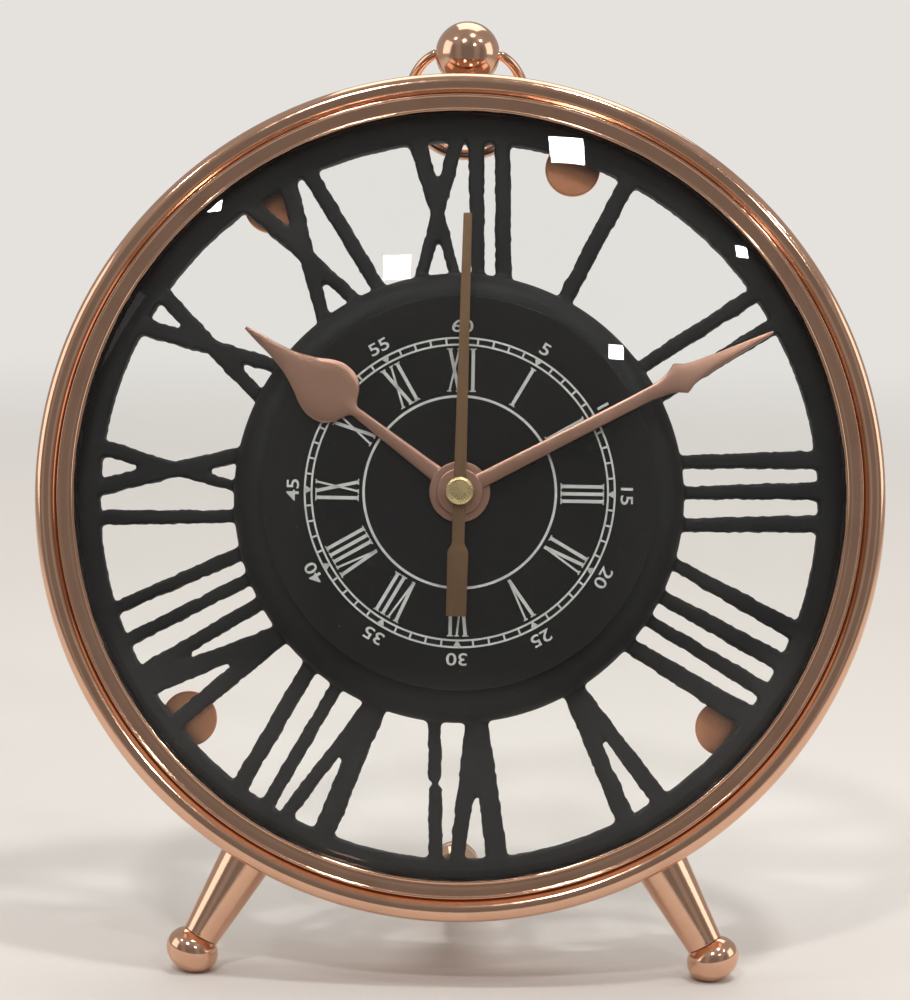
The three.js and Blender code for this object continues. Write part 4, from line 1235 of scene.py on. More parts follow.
@dataclass
class Dome:
    """The convex glass in front of the whole dial."""

    radius: float = 69.8
    rise: float = 16.88
    thickness: float = 1.4
    edge_front: float = 1.55

    @property
    def sphere(self) -> float:
        """The radius of the outer face."""
        return (self.radius**2 + self.rise**2) / (2 * self.rise)

    @property
    def centre(self) -> float:
        """The depth of the sphere's centre."""
        return self.edge_front - self.rise + self.sphere

    def depth(self, radius: float, sphere: float) -> float:
        """The depth of a face at a radius."""
        return self.centre - math.sqrt(sphere**2 - radius**2)

    def build(self, bench: Bench) -> None:
        """Adds the glass as two faces with a ground edge.

        Args:
            bench: Where the pieces go.
        """
        rings = 28
        radii = [self.radius * i / rings for i in range(rings + 1)]
        outer = [(r, self.depth(r, self.sphere)) for r in radii]
        inner = [(r, self.depth(r, self.sphere - self.thickness)) for r in reversed(radii)]
        bench.add("glass_dome", lathe([*outer, *inner], 160), CLEAR_GLASS, CASE, ["dome_glass"], 60)
        bench.dress(BLACK_MOULDED, "glass_retainer")


@dataclass
class Drum:
    """The case ring behind the bezel, with the dial's ledge and the boss of the rear leg."""

    radius: float = 74.65
    wall: float = 2.5
    front: float = 5.75
    back: float = 21.75
    ledge_front: float = 9.45
    ledge_back: float = 10.65
    ledge_radius: float = 69.75
    boss_radius: float = 4.9
    boss_nose: float = 3.2
    boss_length: float = 6.0
    rounds: tuple[float, ...] = (0.2, 1.1, 0.9, 0.3, 0.25, 0.25, 0.1, 0.2)
    boss_rounds: tuple[float, ...] = (0.0, 0.5, 0.8, 0.5, 0.0)

    def build(self, bench: Bench, stance: "Stance") -> None:
        """Adds the drum with a rolled rear edge.

        Args:
            bench: Where the pieces go.
            stance: The legs, for the place of the rear boss.
        """
        inner = self.radius - self.wall
        section = [
            (self.radius, self.front),
            (self.radius, self.back),
            (inner, self.back),
            (inner, self.ledge_back),
            (self.ledge_radius, self.ledge_back),
            (self.ledge_radius, self.ledge_front),
            (inner, self.ledge_front),
            (inner, self.front),
        ]
        boss = [
            (0, -self.boss_length),
            (self.boss_nose, -self.boss_length),
            (self.boss_radius, -self.boss_length / 2),
            (self.boss_radius, 0),
            (0, 0),
        ]
        meshes = [
            turned(section, self.rounds, SMOOTH_STEPS),
            moved(turned(boss, self.boss_rounds), aimed(stance.rear_direction, stance.rear_boss)),
        ]
        bench.add("case_drum", joined(meshes), BRIGHT_COPPER, CASE, ["case_ring"], 50)


NUMERAL_STROKES: dict[str, list[tuple[float, float, float, float]]] = {
    "XII": [(-9.0, -6.1, -3.3, -0.7), (-2.5, -0.2, -12.4, -9.2), (0.4, 3.1, 2.3, 5.7), (4.8, 7.3, 8.5, 12.7)],
    "I": [(25.7, 28.5, 25.3, 29.2)],
    "II": [(53.3, 55.8, 51.8, 55.1), (59.1, 61.7, 60.4, 63.8)],
    "III": [(81.6, 84.4, 78.3, 81.6), (86.6, 89.4, 86.3, 89.4), (91.8, 94.6, 94.4, 97.8)],
    "IIII": [
        (109.2, 112.2, 104.6, 107.8),
        (114.7, 117.7, 113.4, 116.8),
        (120.1, 122.7, 120.5, 123.5),
        (124.5, 128.3, 128.1, 131.9),
    ],
    "V": [(144.0, 146.8, 145.6, 149.4), (150.2, 153.2, 147.4, 151.2)],
    "VI": [(171.3, 174.7, 171.6, 176.1), (178.2, 180.5, 172.4, 177.4), (181.6, 183.8, 183.6, 186.9)],
    "VII": [
        (199.2, 202.6, 197.9, 203.2),
        (206.4, 208.6, 200.6, 203.9),
        (209.8, 212.1, 210.2, 213.4),
        (214.9, 217.5, 218.3, 222.4),
    ],
    "VIII": [
        (229.3, 231.9, 228.9, 233.0),
        (236.1, 239.4, 230.0, 234.1),
        (238.8, 241.2, 239.3, 242.7),
        (244.7, 246.7, 246.2, 249.4),
        (250.2, 252.1, 252.9, 256.4),
    ],
    "IX": [(264.6, 267.0, 262.7, 265.9), (269.4, 272.1, 278.1, 282.0), (275.7, 278.3, 270.6, 273.2)],
    "X": [(296.2, 299.0, 303.1, 306.7), (302.2, 304.8, 294.1, 297.7)],
    "XI": [(322.2, 325.1, 329.6, 333.0), (329.0, 331.9, 319.9, 323.6), (333.0, 335.6, 336.4, 340.0)],
}


@dataclass
class PiercedDial:
    """The cast dial: a rim, the pierced strokes of the twelve numerals and the raised hub cup."""

    radius: float = 71.75
    outer: float = 64.6
    inner: float = 40.4
    front: float = 5.75
    back: float = 9.25
    hub_front: float = 0.15
    hub_wall: float = 2.0
    shoulder: float = 4.9
    boss_radius: float = 12.0
    boss_back: float = 4.15
    bore: float = 5.2
    voxel: float = 0.42
    kept_share: float = 0.34
    waviness: float = 0.17
    ripple: float = 0.20
    wave_scale: float = 0.35
    ripple_scale: float = 1.05
    ripple_offset: Vector = Vector((7, 3, 5))
    wave_seed: int = 4
    edge_reach: float = 1.5
    hub_gap: float = 0.4
    rim_lap: float = 0.8
    drift: Point = (-0.18, -0.48)
    drift_start: float = 36.0
    drift_rise: float = 4.0
    drift_end: float = 70.5
    drift_fall: float = 5.0
    flaw: Point = (-3.4, -51.3)
    flaw_reach: float = 0.95
    flaw_share: float = 0.6

    def hub(self) -> Mesh:
        """The raised cup behind the printed disc.

        Returns:
            The cup.
        """
        steps = 6
        cup, inside = [], []
        for i in range(steps + 1):
            turn = math.radians(90 * i / steps)
            inward = self.shoulder * (1 - math.cos(turn))
            rise = self.front - self.hub_front
            cup.append((self.inner - inward, self.front - rise * math.sin(turn)))
            inside.append(
                (self.inner - self.hub_wall - inward, self.front - (rise - self.hub_wall) * math.sin(turn))
            )
        back = self.hub_front + self.hub_wall
        section = [
            (self.inner, self.back),
            *cup,
            (self.bore, self.hub_front),
            (self.bore, self.boss_back),
            (self.boss_radius, self.boss_back),
            (self.boss_radius, back),
            *reversed(inside),
            (self.inner - self.hub_wall, self.back),
        ]
        return lathe(section, 128)

    def rim(self) -> Mesh:
        """The flat rim."""
        middle = ((self.outer + self.radius) / 2, (self.front + self.back) / 2)
        return lathe(rectangle(self.radius - self.outer, self.back - self.front, middle), 144)

    def stroke(self, angles: tuple[float, float, float, float]) -> Mesh:
        """One numeral stroke, run into the rim and the hub at its ends.

        Args:
            angles: The clock angles of its two sides at the rim, then at the hub.

        Returns:
            The stroke.
        """
        outer_start, outer_end, inner_start, inner_end = angles
        a, b = (Vector(at_clock(self.outer, angle)) for angle in (outer_start, outer_end))
        d, c = (Vector(at_clock(self.inner, angle)) for angle in (inner_start, inner_end))
        grow = 1 / (self.outer - self.inner)
        outline = [a.lerp(d, -grow), b.lerp(c, -grow), c.lerp(b, -grow), d.lerp(a, -grow)]
        return plate([tuple(point) for point in outline], self.front, self.back)

    def cast_edges(self, mesh: Mesh) -> None:
        """Moves the strokes' sides as a hand-finished casting does, and pinches one stroke at its flaw.

        Args:
            mesh: The cast dial, changed in place.
        """
        noise.seed_set(self.wave_seed)
        for vertex in mesh.vertices:
            x, y, z = vertex.co
            radius = math.hypot(x, z)
            pierced = limited((radius - self.drift_start) / self.drift_rise)
            pierced = min(pierced, limited((self.drift_end - radius) / self.drift_fall))
            pinch = max(0.0, 1 - abs(z - self.flaw[1]) / self.flaw_reach)
            if abs(x - self.flaw[0]) < 2 * self.flaw_reach:
                x += (self.flaw[0] - x) * pinch * self.flaw_share
            x += self.drift[0] * pierced
            z += self.drift[1] * pierced
            reach = limited((radius - self.inner - self.hub_gap) / self.edge_reach)
            reach *= limited((self.outer + self.rim_lap - radius) / self.edge_reach)
            flat = Vector((x, y * 0.25, z))
            wave = noise.noise_vector(flat * self.wave_scale) * self.waviness
            ripple = noise.noise_vector(flat * self.ripple_scale + self.ripple_offset) * self.ripple
            shift = wave + ripple
            vertex.co = Vector((x + shift.x * reach, y + ripple.y * 0.35 * reach, z + shift.z * reach))

    def build(self, bench: Bench) -> None:
        """Casts the dial in one piece and adds it.

        Args:
            bench: Where the pieces go.
        """
        strokes = [self.stroke(angles) for group in NUMERAL_STROKES.values() for angles in group]
        whole = joined([self.rim(), self.hub(), *strokes])
        cast = with_modifier(whole, "REMESH", mode="VOXEL", voxel_size=self.voxel, adaptivity=0.0)
        cast = with_modifier(cast, "SMOOTH", factor=0.5, iterations=3)
        self.cast_edges(cast)
        cast = with_modifier(cast, "DECIMATE", ratio=self.kept_share)
        bench.add("pierced_dial", cast, CAST_BLACK, CASE, ["skeleton_dial"], 80)


@dataclass
class PrintedDisc:
    """The gloss centre disc with its minute track, small numerals and minute numbers."""

    radius: float = 35.0
    bore: float = 5.4
    front: float = -1.15
    back: float = 0.05
    ink: float = 0.03
    track_outer: float = 27.4
    track_inner: float = 26.2
    line: float = 0.34
    circle: float = 17.0
    circle_line: float = 0.45
    numeral_foot: float = 17.8
    numeral_height: float = 7.7
    thick: float = 0.60
    thin: float = 0.36
    serif: float = 0.22
    numbers_reach: float = 29.4
    number_size: float = 3.05
    number_stretch: float = 1.3
    number_swell: float = 0.03
    triangle: float = 0.74
    letter_margin: float = 0.5
    wide_foot: float = 1.05
    narrow_foot: float = 0.8
    full_foot: float = 1.1
    rounds: tuple[float, ...] = (0.1, 0.25, 0.1, 0.0)

    def onto(self) -> Matrix:
        """Lays flat print on the disc's front."""
        return Matrix.Translation((0, self.front, 0)) @ FACE

    def marks(self) -> Mesh:
        """The sixty minute ticks and the twelve small triangles, from one node tree.

        Returns:
            The marks, flat on the X and Y axes.
        """
        book = ShapeBook("minute_track")
        count = book.input("Minutes", 60)
        fives = book.input("Hours", 12)
        reach = book.input("Track Middle", (self.track_outer + self.track_inner) / 2)
        length = book.input("Tick Length", self.track_outer - self.track_inner)
        width = book.input("Tick Width", self.line)
        ink = book.input("Ink", self.ink)
        side = book.input("Triangle Radius", self.triangle)
        size = book.join(width, length, ink * 2)
        tick = book.node("GeometryNodeMeshCube", {"Size": size})
        minutes = book.node("GeometryNodeMeshCircle", {"Vertices": count, "Radius": reach})
        triangle = book.node(
            "GeometryNodeMeshCylinder", {"Vertices": 3, "Radius": side, "Depth": ink * 2}
        )
        point_in = book.node("GeometryNodeTransform", {"Geometry": triangle})
        point_in.socket.node.inputs["Rotation"].default_value = (0, 0, math.radians(-90))
        hours = book.node("GeometryNodeMeshCircle", {"Vertices": fives, "Radius": reach})
        layers = []
        for points, shape in ((minutes, tick), (hours, point_in)):
            outward = book.node(
                "FunctionNodeAlignRotationToVector",
                {"Vector": book.node("GeometryNodeInputPosition")},
                axis="Y",
                pivot_axis="Z",
            )
            layers.append(
                book.node(
                    "GeometryNodeInstanceOnPoints", {"Points": points, "Instance": shape, "Rotation": outward}
                )
            )
        return book.grow(book.node("GeometryNodeJoinGeometry", {0: layers}), WHITE_INK)

    def ring(self, radius: float, line: float) -> Mesh:
        """A printed circle."""
        inner, outer = radius - line / 2, radius + line / 2
        section = [(inner, 0), (outer, 0), (outer, -self.ink), (inner, -self.ink)]
        return moved(lathe(section, 144), FACE.inverted())

    def bar(self, start: Point, end: Point, width: float) -> Mesh:
        """A straight printed stroke between two points, cut level at its ends.

        Args:
            start: The middle of its start.
            end: The middle of its end.
            width: Its width.

        Returns:
            The stroke.
        """
        half = width / 2
        corners = [(start[0] - half, start[1]), (start[0] + half, start[1]),
                   (end[0] + half, end[1]), (end[0] - half, end[1])]
        return moved(plate(corners, -self.ink, 0), FACE.inverted())

    def foot(self, x: float, top: bool, width: float) -> Mesh:
        """The serif at a stroke's end."""
        y = self.numeral_height - self.serif / 2 if top else self.serif / 2
        return moved(plate(rectangle(width, self.serif, (x, y)), -self.ink, 0), FACE.inverted())

    def numeral(self, text: str) -> list[Mesh]:
        """A small serifed Roman numeral, centred on X with its foot at the origin.

        Args:
            text: The numeral's letters.

        Returns:
            Its strokes and serifs.
        """
        widths = {"I": 1.3, "V": 2.55, "X": 2.7}
        top = self.numeral_height
        left = -sum(widths[letter] for letter in text) / 2
        parts = []
        for letter in text:
            middle = left + widths[letter] / 2
            near, far = left + self.letter_margin, left + widths[letter] - self.letter_margin
            if letter == "I":
                parts.append(self.bar((middle, 0), (middle, top), self.thick))
                parts += [self.foot(middle, level, self.full_foot) for level in (False, True)]
            elif letter == "V":
                parts.append(self.bar((middle, 0), (near, top), self.thick))
                parts.append(self.bar((middle, 0), (far, top), self.thin))
                parts += [self.foot(near, True, self.wide_foot), self.foot(far, True, self.narrow_foot)]
            else:
                parts.append(self.bar((far, 0), (near, top), self.thick))
                parts.append(self.bar((near, 0), (far, top), self.thin))
                parts += [self.foot(near, True, self.wide_foot), self.foot(far, True, self.narrow_foot)]
                parts += [self.foot(near, False, self.narrow_foot), self.foot(far, False, self.wide_foot)]
            left += widths[letter]
        return parts

    def number(self, text: str) -> Mesh:
        """A minute number, centred on the origin.

        Args:
            text: The number.

        Returns:
            Its mesh.
        """
        curve = bpy.data.curves.new("number", "FONT")
        curve.body = text
        curve.size = self.number_size
        curve.align_x = "CENTER"
        curve.align_y = "CENTER"
        curve.extrude = self.ink / 2
        curve.resolution_u = 6
        curve.offset = self.number_swell
        host = placed("number", curve)
        mesh = bpy.data.meshes.new_from_object(host.evaluated_get(bpy.context.evaluated_depsgraph_get()))
        bpy.data.objects.remove(host)
        bpy.data.curves.remove(curve)
        stretched = Matrix.Diagonal((self.number_stretch, 1, 1, 1))
        return moved(mesh, Matrix.Translation((0, 0, self.ink / 2)) @ stretched)

    def build(self, bench: Bench) -> None:
        """Adds the disc and everything printed on it.

        Args:
            bench: Where the pieces go.
        """
        section = [
            (self.bore, self.front),
            (self.radius, self.front),
            (self.radius, self.back),
            (self.bore, self.back),
        ]
        bench.add("disc", turned(section, self.rounds, 160), GLOSS_BLACK, CASE, ["centre_disc"])
        prints = [
            self.marks(),
            self.ring(self.track_outer, self.line),
            self.ring(self.track_inner, self.line),
            self.ring(self.circle, self.circle_line),
        ]
        hours = ["XII", "I", "II", "III", "IV", "V", "VI", "VII", "VIII", "IX", "X", "XI"]
        for i, text in enumerate(hours):
            turn = Matrix.Rotation(math.radians(-30 * i), 4, "Z")
            up = Matrix.Translation((0, self.numeral_foot, 0))
            prints += [moved(part, turn @ up) for part in self.numeral(text)]
            out = Matrix.Translation((0, self.numbers_reach, 0))
            prints.append(moved(self.number(str(5 * i or 60)), turn @ out))
        bench.add("disc_print", moved(joined(prints), self.onto()), WHITE_INK, CASE)


@dataclass
class Clips:
    """The four copper clips behind the dial's rim, with their screws."""

    angles: tuple[float, ...] = (18.0, 130.5, 229.6, 326.1)
    radius: float = 5.0
    reach: float = 63.3
    arm_width: float = 6.0
    arm_top: float = 71.75
    front: float = 10.85
    back: float = 12.05
    screw_reach: float = 67.175
    head_radius: float = 1.9
    head_height: float = 1.1
    head_seat: float = 12.25
    slot_width: float = 0.42
    slot_depth: float = 0.45
    shank_radius: float = 1.1
    shank_front: float = 7.25
    arm_round: float = 0.9
    clip_bevel: float = 0.3
    recess_share: float = 1.2
    overcut: float = 1.0
    rounds: tuple[float, ...] = (0.0, 0.3, 0.0, 0.1, 0.8, 0.0)

    def clip(self) -> Mesh:
        """A clip: a disc with an arm towards the rim.

        Returns:
            The clip at 12 o'clock.
        """
        half = self.arm_width / 2
        start = math.degrees(math.asin(half / self.radius))
        disc = arc((0, 0), self.radius, 90 - start, -270 + start, 56)
        arm = [(side * half, self.arm_top - self.reach, self.arm_round) for side in (-1, 1)]
        outline = rounded([*disc, *arm], 4)
        flat = plate(outline, self.front, self.back, self.clip_bevel)
        return moved(flat, Matrix.Translation((0, 0, self.reach)))

    def screw(self) -> Mesh:
        """A pan-head screw with a cross recess, its head towards +Y.

        Returns:
            The screw on the Y axis.
        """
        seat, top = self.head_seat, self.head_seat + self.head_height
        section = [
            (0, self.shank_front),
            (self.shank_radius, self.shank_front),
            (self.shank_radius, seat),
            (self.head_radius, seat),
            (self.head_radius, top),
            (0, top),
        ]
        head = turned(section, self.rounds, 40)
        long, wide = self.head_radius * self.recess_share, self.slot_width
        for width, length in ((wide, long), (long, wide)):
            head = cut(head, plate(rectangle(width, length), top - self.slot_depth, top + self.overcut))
        return head

    def build(self, bench: Bench) -> None:
        """Adds the clips, and the screws from a node tree that stands one at each place.

        Args:
            bench: Where the pieces go.
        """
        for i, angle in enumerate(self.angles):
            clip = moved(self.clip(), clock_turn(angle))
            bench.add(f"clip_{i + 1}", clip, LIT_CLIP_COPPER, CASE, [f"dial_clip_{i + 1}"])
        model = placed("screw_model", self.screw())
        places = [at_clock(self.screw_reach, angle) for angle in self.angles]
        book = ShapeBook("clip_screws")
        screw = book.node("GeometryNodeObjectInfo", {"Object": book.input("Screw", model)}, "Geometry")
        turn = book.node("FunctionNodeRandomValue", {2: 0.0, 3: TURN, "Seed": book.input("Seed", 4)}, 1)
        stand = book.node(
            "GeometryNodeInstanceOnPoints",
            {"Points": book.host(), "Instance": screw, "Rotation": book.join(0.0, turn, 0.0)},
        )
        mesh = book.grow(stand, PLATED_STEEL, point_mesh([Vector((x, 0, z)) for x, z in places]))
        bpy.data.objects.remove(model)
        bench.add("clip_screws", mesh, PLATED_STEEL, CASE, [f"clip_screw_{i + 1}" for i in range(4)])


@dataclass
class Stance:
    """The three legs with their ball feet, studs and nuts."""

    spread: float = 29.65
    depth: float = 14.75
    root_reach: float = 74.85
    foot_reach: float = 95.4
    rear_reach: float = 58.0
    rear_boss_reach: float = 68.5
    rear_boss_depth: float = 24.75
    top_radius: float = 5.0
    bottom_radius: float = 3.375
    foot_radius: float = 4.9
    foot_half_height: float = 4.0
    flat: float = 0.5
    seam: float = 0.25
    lap: float = 0.12
    spigot_radius: float = 1.6
    stud_radius: float = 2.0
    stud_half: float = 5.5
    thread_pitch: float = 0.7
    ridge_share: float = 0.45
    core_share: float = 0.9
    core_rounds: tuple[float, ...] = (0.0, 0.3, 0.3, 0.0)
    rear_lap: float = 0.2
    nut_bevel: float = 0.35
    cup_swell: float = 0.02
    cup_edge: float = 0.5
    leg_rounds: tuple[float, ...] = (0.0, 0.35, 0.2, 0.15, 0.0, 0.0)
    first_guess: Vector = Vector((0, 20, -20))

    def front_point(self, side: int, reach: float) -> Vector:
        """A point under the drum at a reach, to the left for 1 and to the right for -1."""
        turn = math.radians(self.spread) * side
        return Vector((-reach * math.sin(turn), self.depth, -reach * math.cos(turn)))

    @property
    def down(self) -> Vector:
        """The way down in the clock's own space."""
        return CLOCK.to_3x3().inverted() @ Vector((0, 0, -1)) * MILLIMETRE

    @property
    def rear_boss(self) -> Vector:
        """Where the rear leg leaves its boss."""
        return Vector((0, self.rear_boss_depth, -self.rear_boss_reach))

    @property
    def rear_foot(self) -> Vector:
        """The centre of the rear ball, so that its flat lies on the ground.

        Returns:
            The centre, found step by step because the ball's drop depends on it.
        """
        front = CLOCK @ self.front_point(1, self.foot_reach)
        centre = self.rear_boss + self.first_guess
        for _ in range(10):
            along = (centre - self.rear_boss).normalized().dot(self.down.normalized()) ** 2
            drop = math.sqrt(self.foot_half_height**2 * along + self.foot_radius**2 * (1 - along)) - self.flat
            world = Vector((0, front.y + self.rear_reach * MILLIMETRE, drop * MILLIMETRE))
            centre = CLOCK.inverted() @ world
        return centre

    @property
    def rear_direction(self) -> Vector:
        """The way that the rear leg runs."""
        return (self.rear_foot - self.rear_boss).normalized()

    def leg(self, length: float) -> Mesh:
        """A conical leg along +Y, whose end is cupped over the ball.

        Args:
            length: From its root to the ball's seam.

        Returns:
            The leg.
        """
        rim = self.foot_half_height * (1 - math.sqrt(1 - (self.bottom_radius / self.foot_radius) ** 2))
        end = length + self.seam + rim - self.lap
        section = [
            (0, 0),
            (self.top_radius, 0),
            (self.bottom_radius + self.cup_swell, end - self.cup_edge),
            (self.bottom_radius, end),
            (self.spigot_radius, length + self.seam),
            (0, length + self.seam),
        ]
        return turned(section, self.leg_rounds)

    def ball(self) -> Mesh:
        """A flattened ball foot around its own centre, along +Y.

        Returns:
            The ball.
        """
        steps = 28
        turns = [math.pi * i / steps for i in range(steps + 1)]
        points = [(self.foot_radius * math.sin(t), -self.foot_half_height * math.cos(t)) for t in turns]
        points[0] = (0, -self.foot_half_height)
        points[-1] = (0, self.foot_half_height)
        return lathe(points)

    def grounded(self, mesh: Mesh) -> Mesh:
        """The ball with its underside flattened on the ground.

        Args:
            mesh: The ball in its place.

        Returns:
            The same ball.
        """
        back = CLOCK.inverted()
        for vertex in mesh.vertices:
            world = CLOCK @ vertex.co
            if world.z < 0:
                vertex.co = back @ Vector((world.x, world.y, 0))
        return mesh

    def threads(self, ends: Sequence[tuple[Vector, Vector]]) -> Mesh:
        """The studs: thread ridges set along every stud by one node tree, over their cores.

        Args:
            ends: The two ends of each stud.

        Returns:
            All the studs.
        """
        book = ShapeBook("stud_threads")
        pitch = book.input("Pitch", self.thread_pitch)
        thread = book.input("Thread Radius", self.stud_radius)
        sizes = {"Vertices": 24, "Radius": thread, "Depth": pitch * self.ridge_share}
        ridge = book.node("GeometryNodeMeshCylinder", sizes)
        line = book.node("GeometryNodeMeshToCurve", {0: book.host()})
        count = {"Curve": line, "Length": pitch}
        points = book.node("GeometryNodeCurveToPoints", count, mode="LENGTH")
        turns = Wire(book, points.socket.node.outputs["Rotation"])
        stand = book.node(
            "GeometryNodeInstanceOnPoints", {"Points": points, "Instance": ridge, "Rotation": turns}
        )
        host = bpy.data.meshes.new("stud_lines")
        host.from_pydata(
            [tuple(point) for pair in ends for point in pair],
            [(2 * i, 2 * i + 1) for i in range(len(ends))],
            [],
        )
        cores = []
        for start, end in ends:
            length = (end - start).length
            radius = self.stud_radius * self.core_share
            corners = cornered([(0, 0), (radius, 0), (radius, length), (0, length)], self.core_rounds)
            cores.append(moved(lathe(rounded(corners, 3), 24), aimed(end - start, start)))
        return joined([book.grow(stand, PLATED_STEEL, host), *cores])

    def build(self, bench: Bench, knob_stud: tuple[Vector, Vector]) -> None:
        """Adds legs, feet, nuts and all the threaded studs.

        Args:
            bench: Where the pieces go.
            knob_stud: The two ends of the knob's stud.
        """
        roots = {"left": self.front_point(1, self.root_reach), "right": self.front_point(-1, self.root_reach)}
        feet = {"left": self.front_point(1, self.foot_reach), "right": self.front_point(-1, self.foot_reach)}
        roots["rear"] = self.rear_boss + self.rear_direction * self.rear_lap
        feet["rear"] = self.rear_foot
        studs = [knob_stud]
        for side, root in roots.items():
            direction = (feet[side] - root).normalized()
            length = (feet[side] - root).length - self.foot_half_height - self.seam
            leg = moved(self.leg(length), aimed(direction, root))
            bench.add(f"leg_{side}", leg, TURNED_COPPER, CASE, [f"{side}_leg"])
            foot = self.grounded(moved(self.ball(), aimed(direction, feet[side])))
            bench.add(f"foot_{side}", foot, TURNED_COPPER, CASE, [f"{side}_foot"], 50)
            studs.append((root - direction * self.stud_half, root + direction * self.stud_half))
        names = ["knob_stud", "left_leg_stud", "right_leg_stud", "rear_leg_stud"]
        bench.add("threaded_studs", self.threads(studs), PLATED_STEEL, CASE, names)
        for nut in ("left_leg_nut", "right_leg_nut", "knob_nut"):
            bench.add(f"{nut}_dressed", softened(nut, self.nut_bevel), PLATED_STEEL, CASE, [nut])


BAIL_OUTLINE: list[Point] = [
    (0, 0), (0.25, 0), (0.5, 0), (0.66, -0.045), (0.81, -0.13), (0.925, -0.25), (0.985, -0.4), (0.975, -0.55),
    (0.885, -0.69), (0.735, -0.82), (0.53, -0.92), (0.28, -0.98), (0, -1),
]


@dataclass
class KnobAndBail:
    """The ball knob on its beaded neck, and the bail that hangs from it."""

    depth: float = 14.75
    root: float = 74.85
    centre: float = 82.302
    radius: float = 5.955
    hole: float = 1.3
    neck_radius: float = 3.3
    neck_height: float = 1.5
    stud_top: float = 80.352
    stud_bottom: float = 69.25
    half_width: float = 10.9
    length: float = 22.8
    wire_top: float = 0.9
    wire_bottom: float = 1.2
    rest_turn: float = 46.7
    seat_gap: float = 0.05
    pin_half: float = 9.0
    neck_bore: float = 2.15

    @property
    def stud(self) -> tuple[Vector, Vector]:
        """The two ends of the knob's stud."""
        return Vector((0, self.depth, self.stud_bottom)), Vector((0, self.depth, self.stud_top))

    def knob(self) -> Mesh:
        """The ball with its cross hole and a flat that sits on the neck.

        Returns:
            The knob.
        """
        steps = 40
        seat = -(self.centre - self.root - self.neck_height - self.seat_gap)
        points = []
        for i in range(steps + 1):
            turn = math.pi * i / steps
            y = -self.radius * math.cos(turn)
            if y > seat:
                points.append((self.radius * math.sin(turn), y))
        points.insert(0, (math.sqrt(self.radius**2 - seat**2), seat))
        points.insert(0, (0, seat))
        points[-1] = (0, self.radius)
        middle = Vector((0, self.depth, self.centre))
        ball = moved(lathe(points, 72), aimed(Vector((0, 0, 1)), middle))
        pin = lathe(rectangle(self.hole, 2 * self.pin_half, (self.hole / 2, 0)), 40)
        return cut(ball, moved(pin, aimed(Vector((1, 0, 0)), middle)))

    def neck(self) -> Mesh:
        """The round bead under the ball.

        Returns:
            The bead.
        """
        half = self.neck_height / 2
        bead = arc((self.neck_radius - half, half), half, -90, 90, 12)
        section = rounded([(self.neck_bore, 0, 0), *bead, (self.neck_bore, self.neck_height, 0)])
        return moved(lathe(section), aimed(Vector((0, 0, 1)), Vector((0, self.depth, self.root))))

    def bail(self) -> Mesh:
        """The loop of tapered wire.

        Returns:
            The bail, as it hangs at rest.
        """
        right = [Vector((x * self.half_width, 0, z * self.length)) for x, z in BAIL_OUTLINE]
        left = [Vector((-point.x, 0, point.z)) for point in reversed(right[1:-1])]
        line = smooth_curve([*right, *left], 6, True)
        radii = [self.wire_top + (self.wire_bottom - self.wire_top) * -p.z / self.length for p in line]
        hang = Matrix.Rotation(math.radians(self.rest_turn), 4, "X")
        return moved(tube(line, radii, 20, True), Matrix.Translation((0, self.depth, self.centre)) @ hang)

    def build(self, bench: Bench) -> None:
        """Adds the knob, its neck and the bail.

        Args:
            bench: Where the pieces go.
        """
        bench.add("knob", self.knob(), TURNED_COPPER, CASE, ["top_knob"], 40)
        bench.add("neck_bead", self.neck(), TURNED_COPPER, CASE, ["knob_neck"])
        bench.add("bail", self.bail(), TURNED_COPPER, "bail_body", ["bail_ring"], 60)


HOUR_OUTLINE: list[Point] = [
    (0.075, 0.27), (0.2, 0.235), (0.35, 0.195), (0.46, 0.165), (0.49, 0.17), (0.507, 0.33), (0.527, 0.66),
    (0.565, 0.93), (0.62, 1), (0.67, 0.88), (0.72, 0.64), (0.785, 0.4), (0.86, 0.24), (0.94, 0.14), (1, 0.05),
]
MINUTE_OUTLINE: list[Point] = [
    (0.04, 0.47), (0.2, 0.44), (0.4, 0.4), (0.6, 0.42), (0.66, 0.56), (0.69, 0.85), (0.7, 0.97),
    (0.712, 0.88), (0.735, 0.66), (0.8, 0.46), (0.9, 0.27), (0.99, 0.12), (1, 0.05),
]


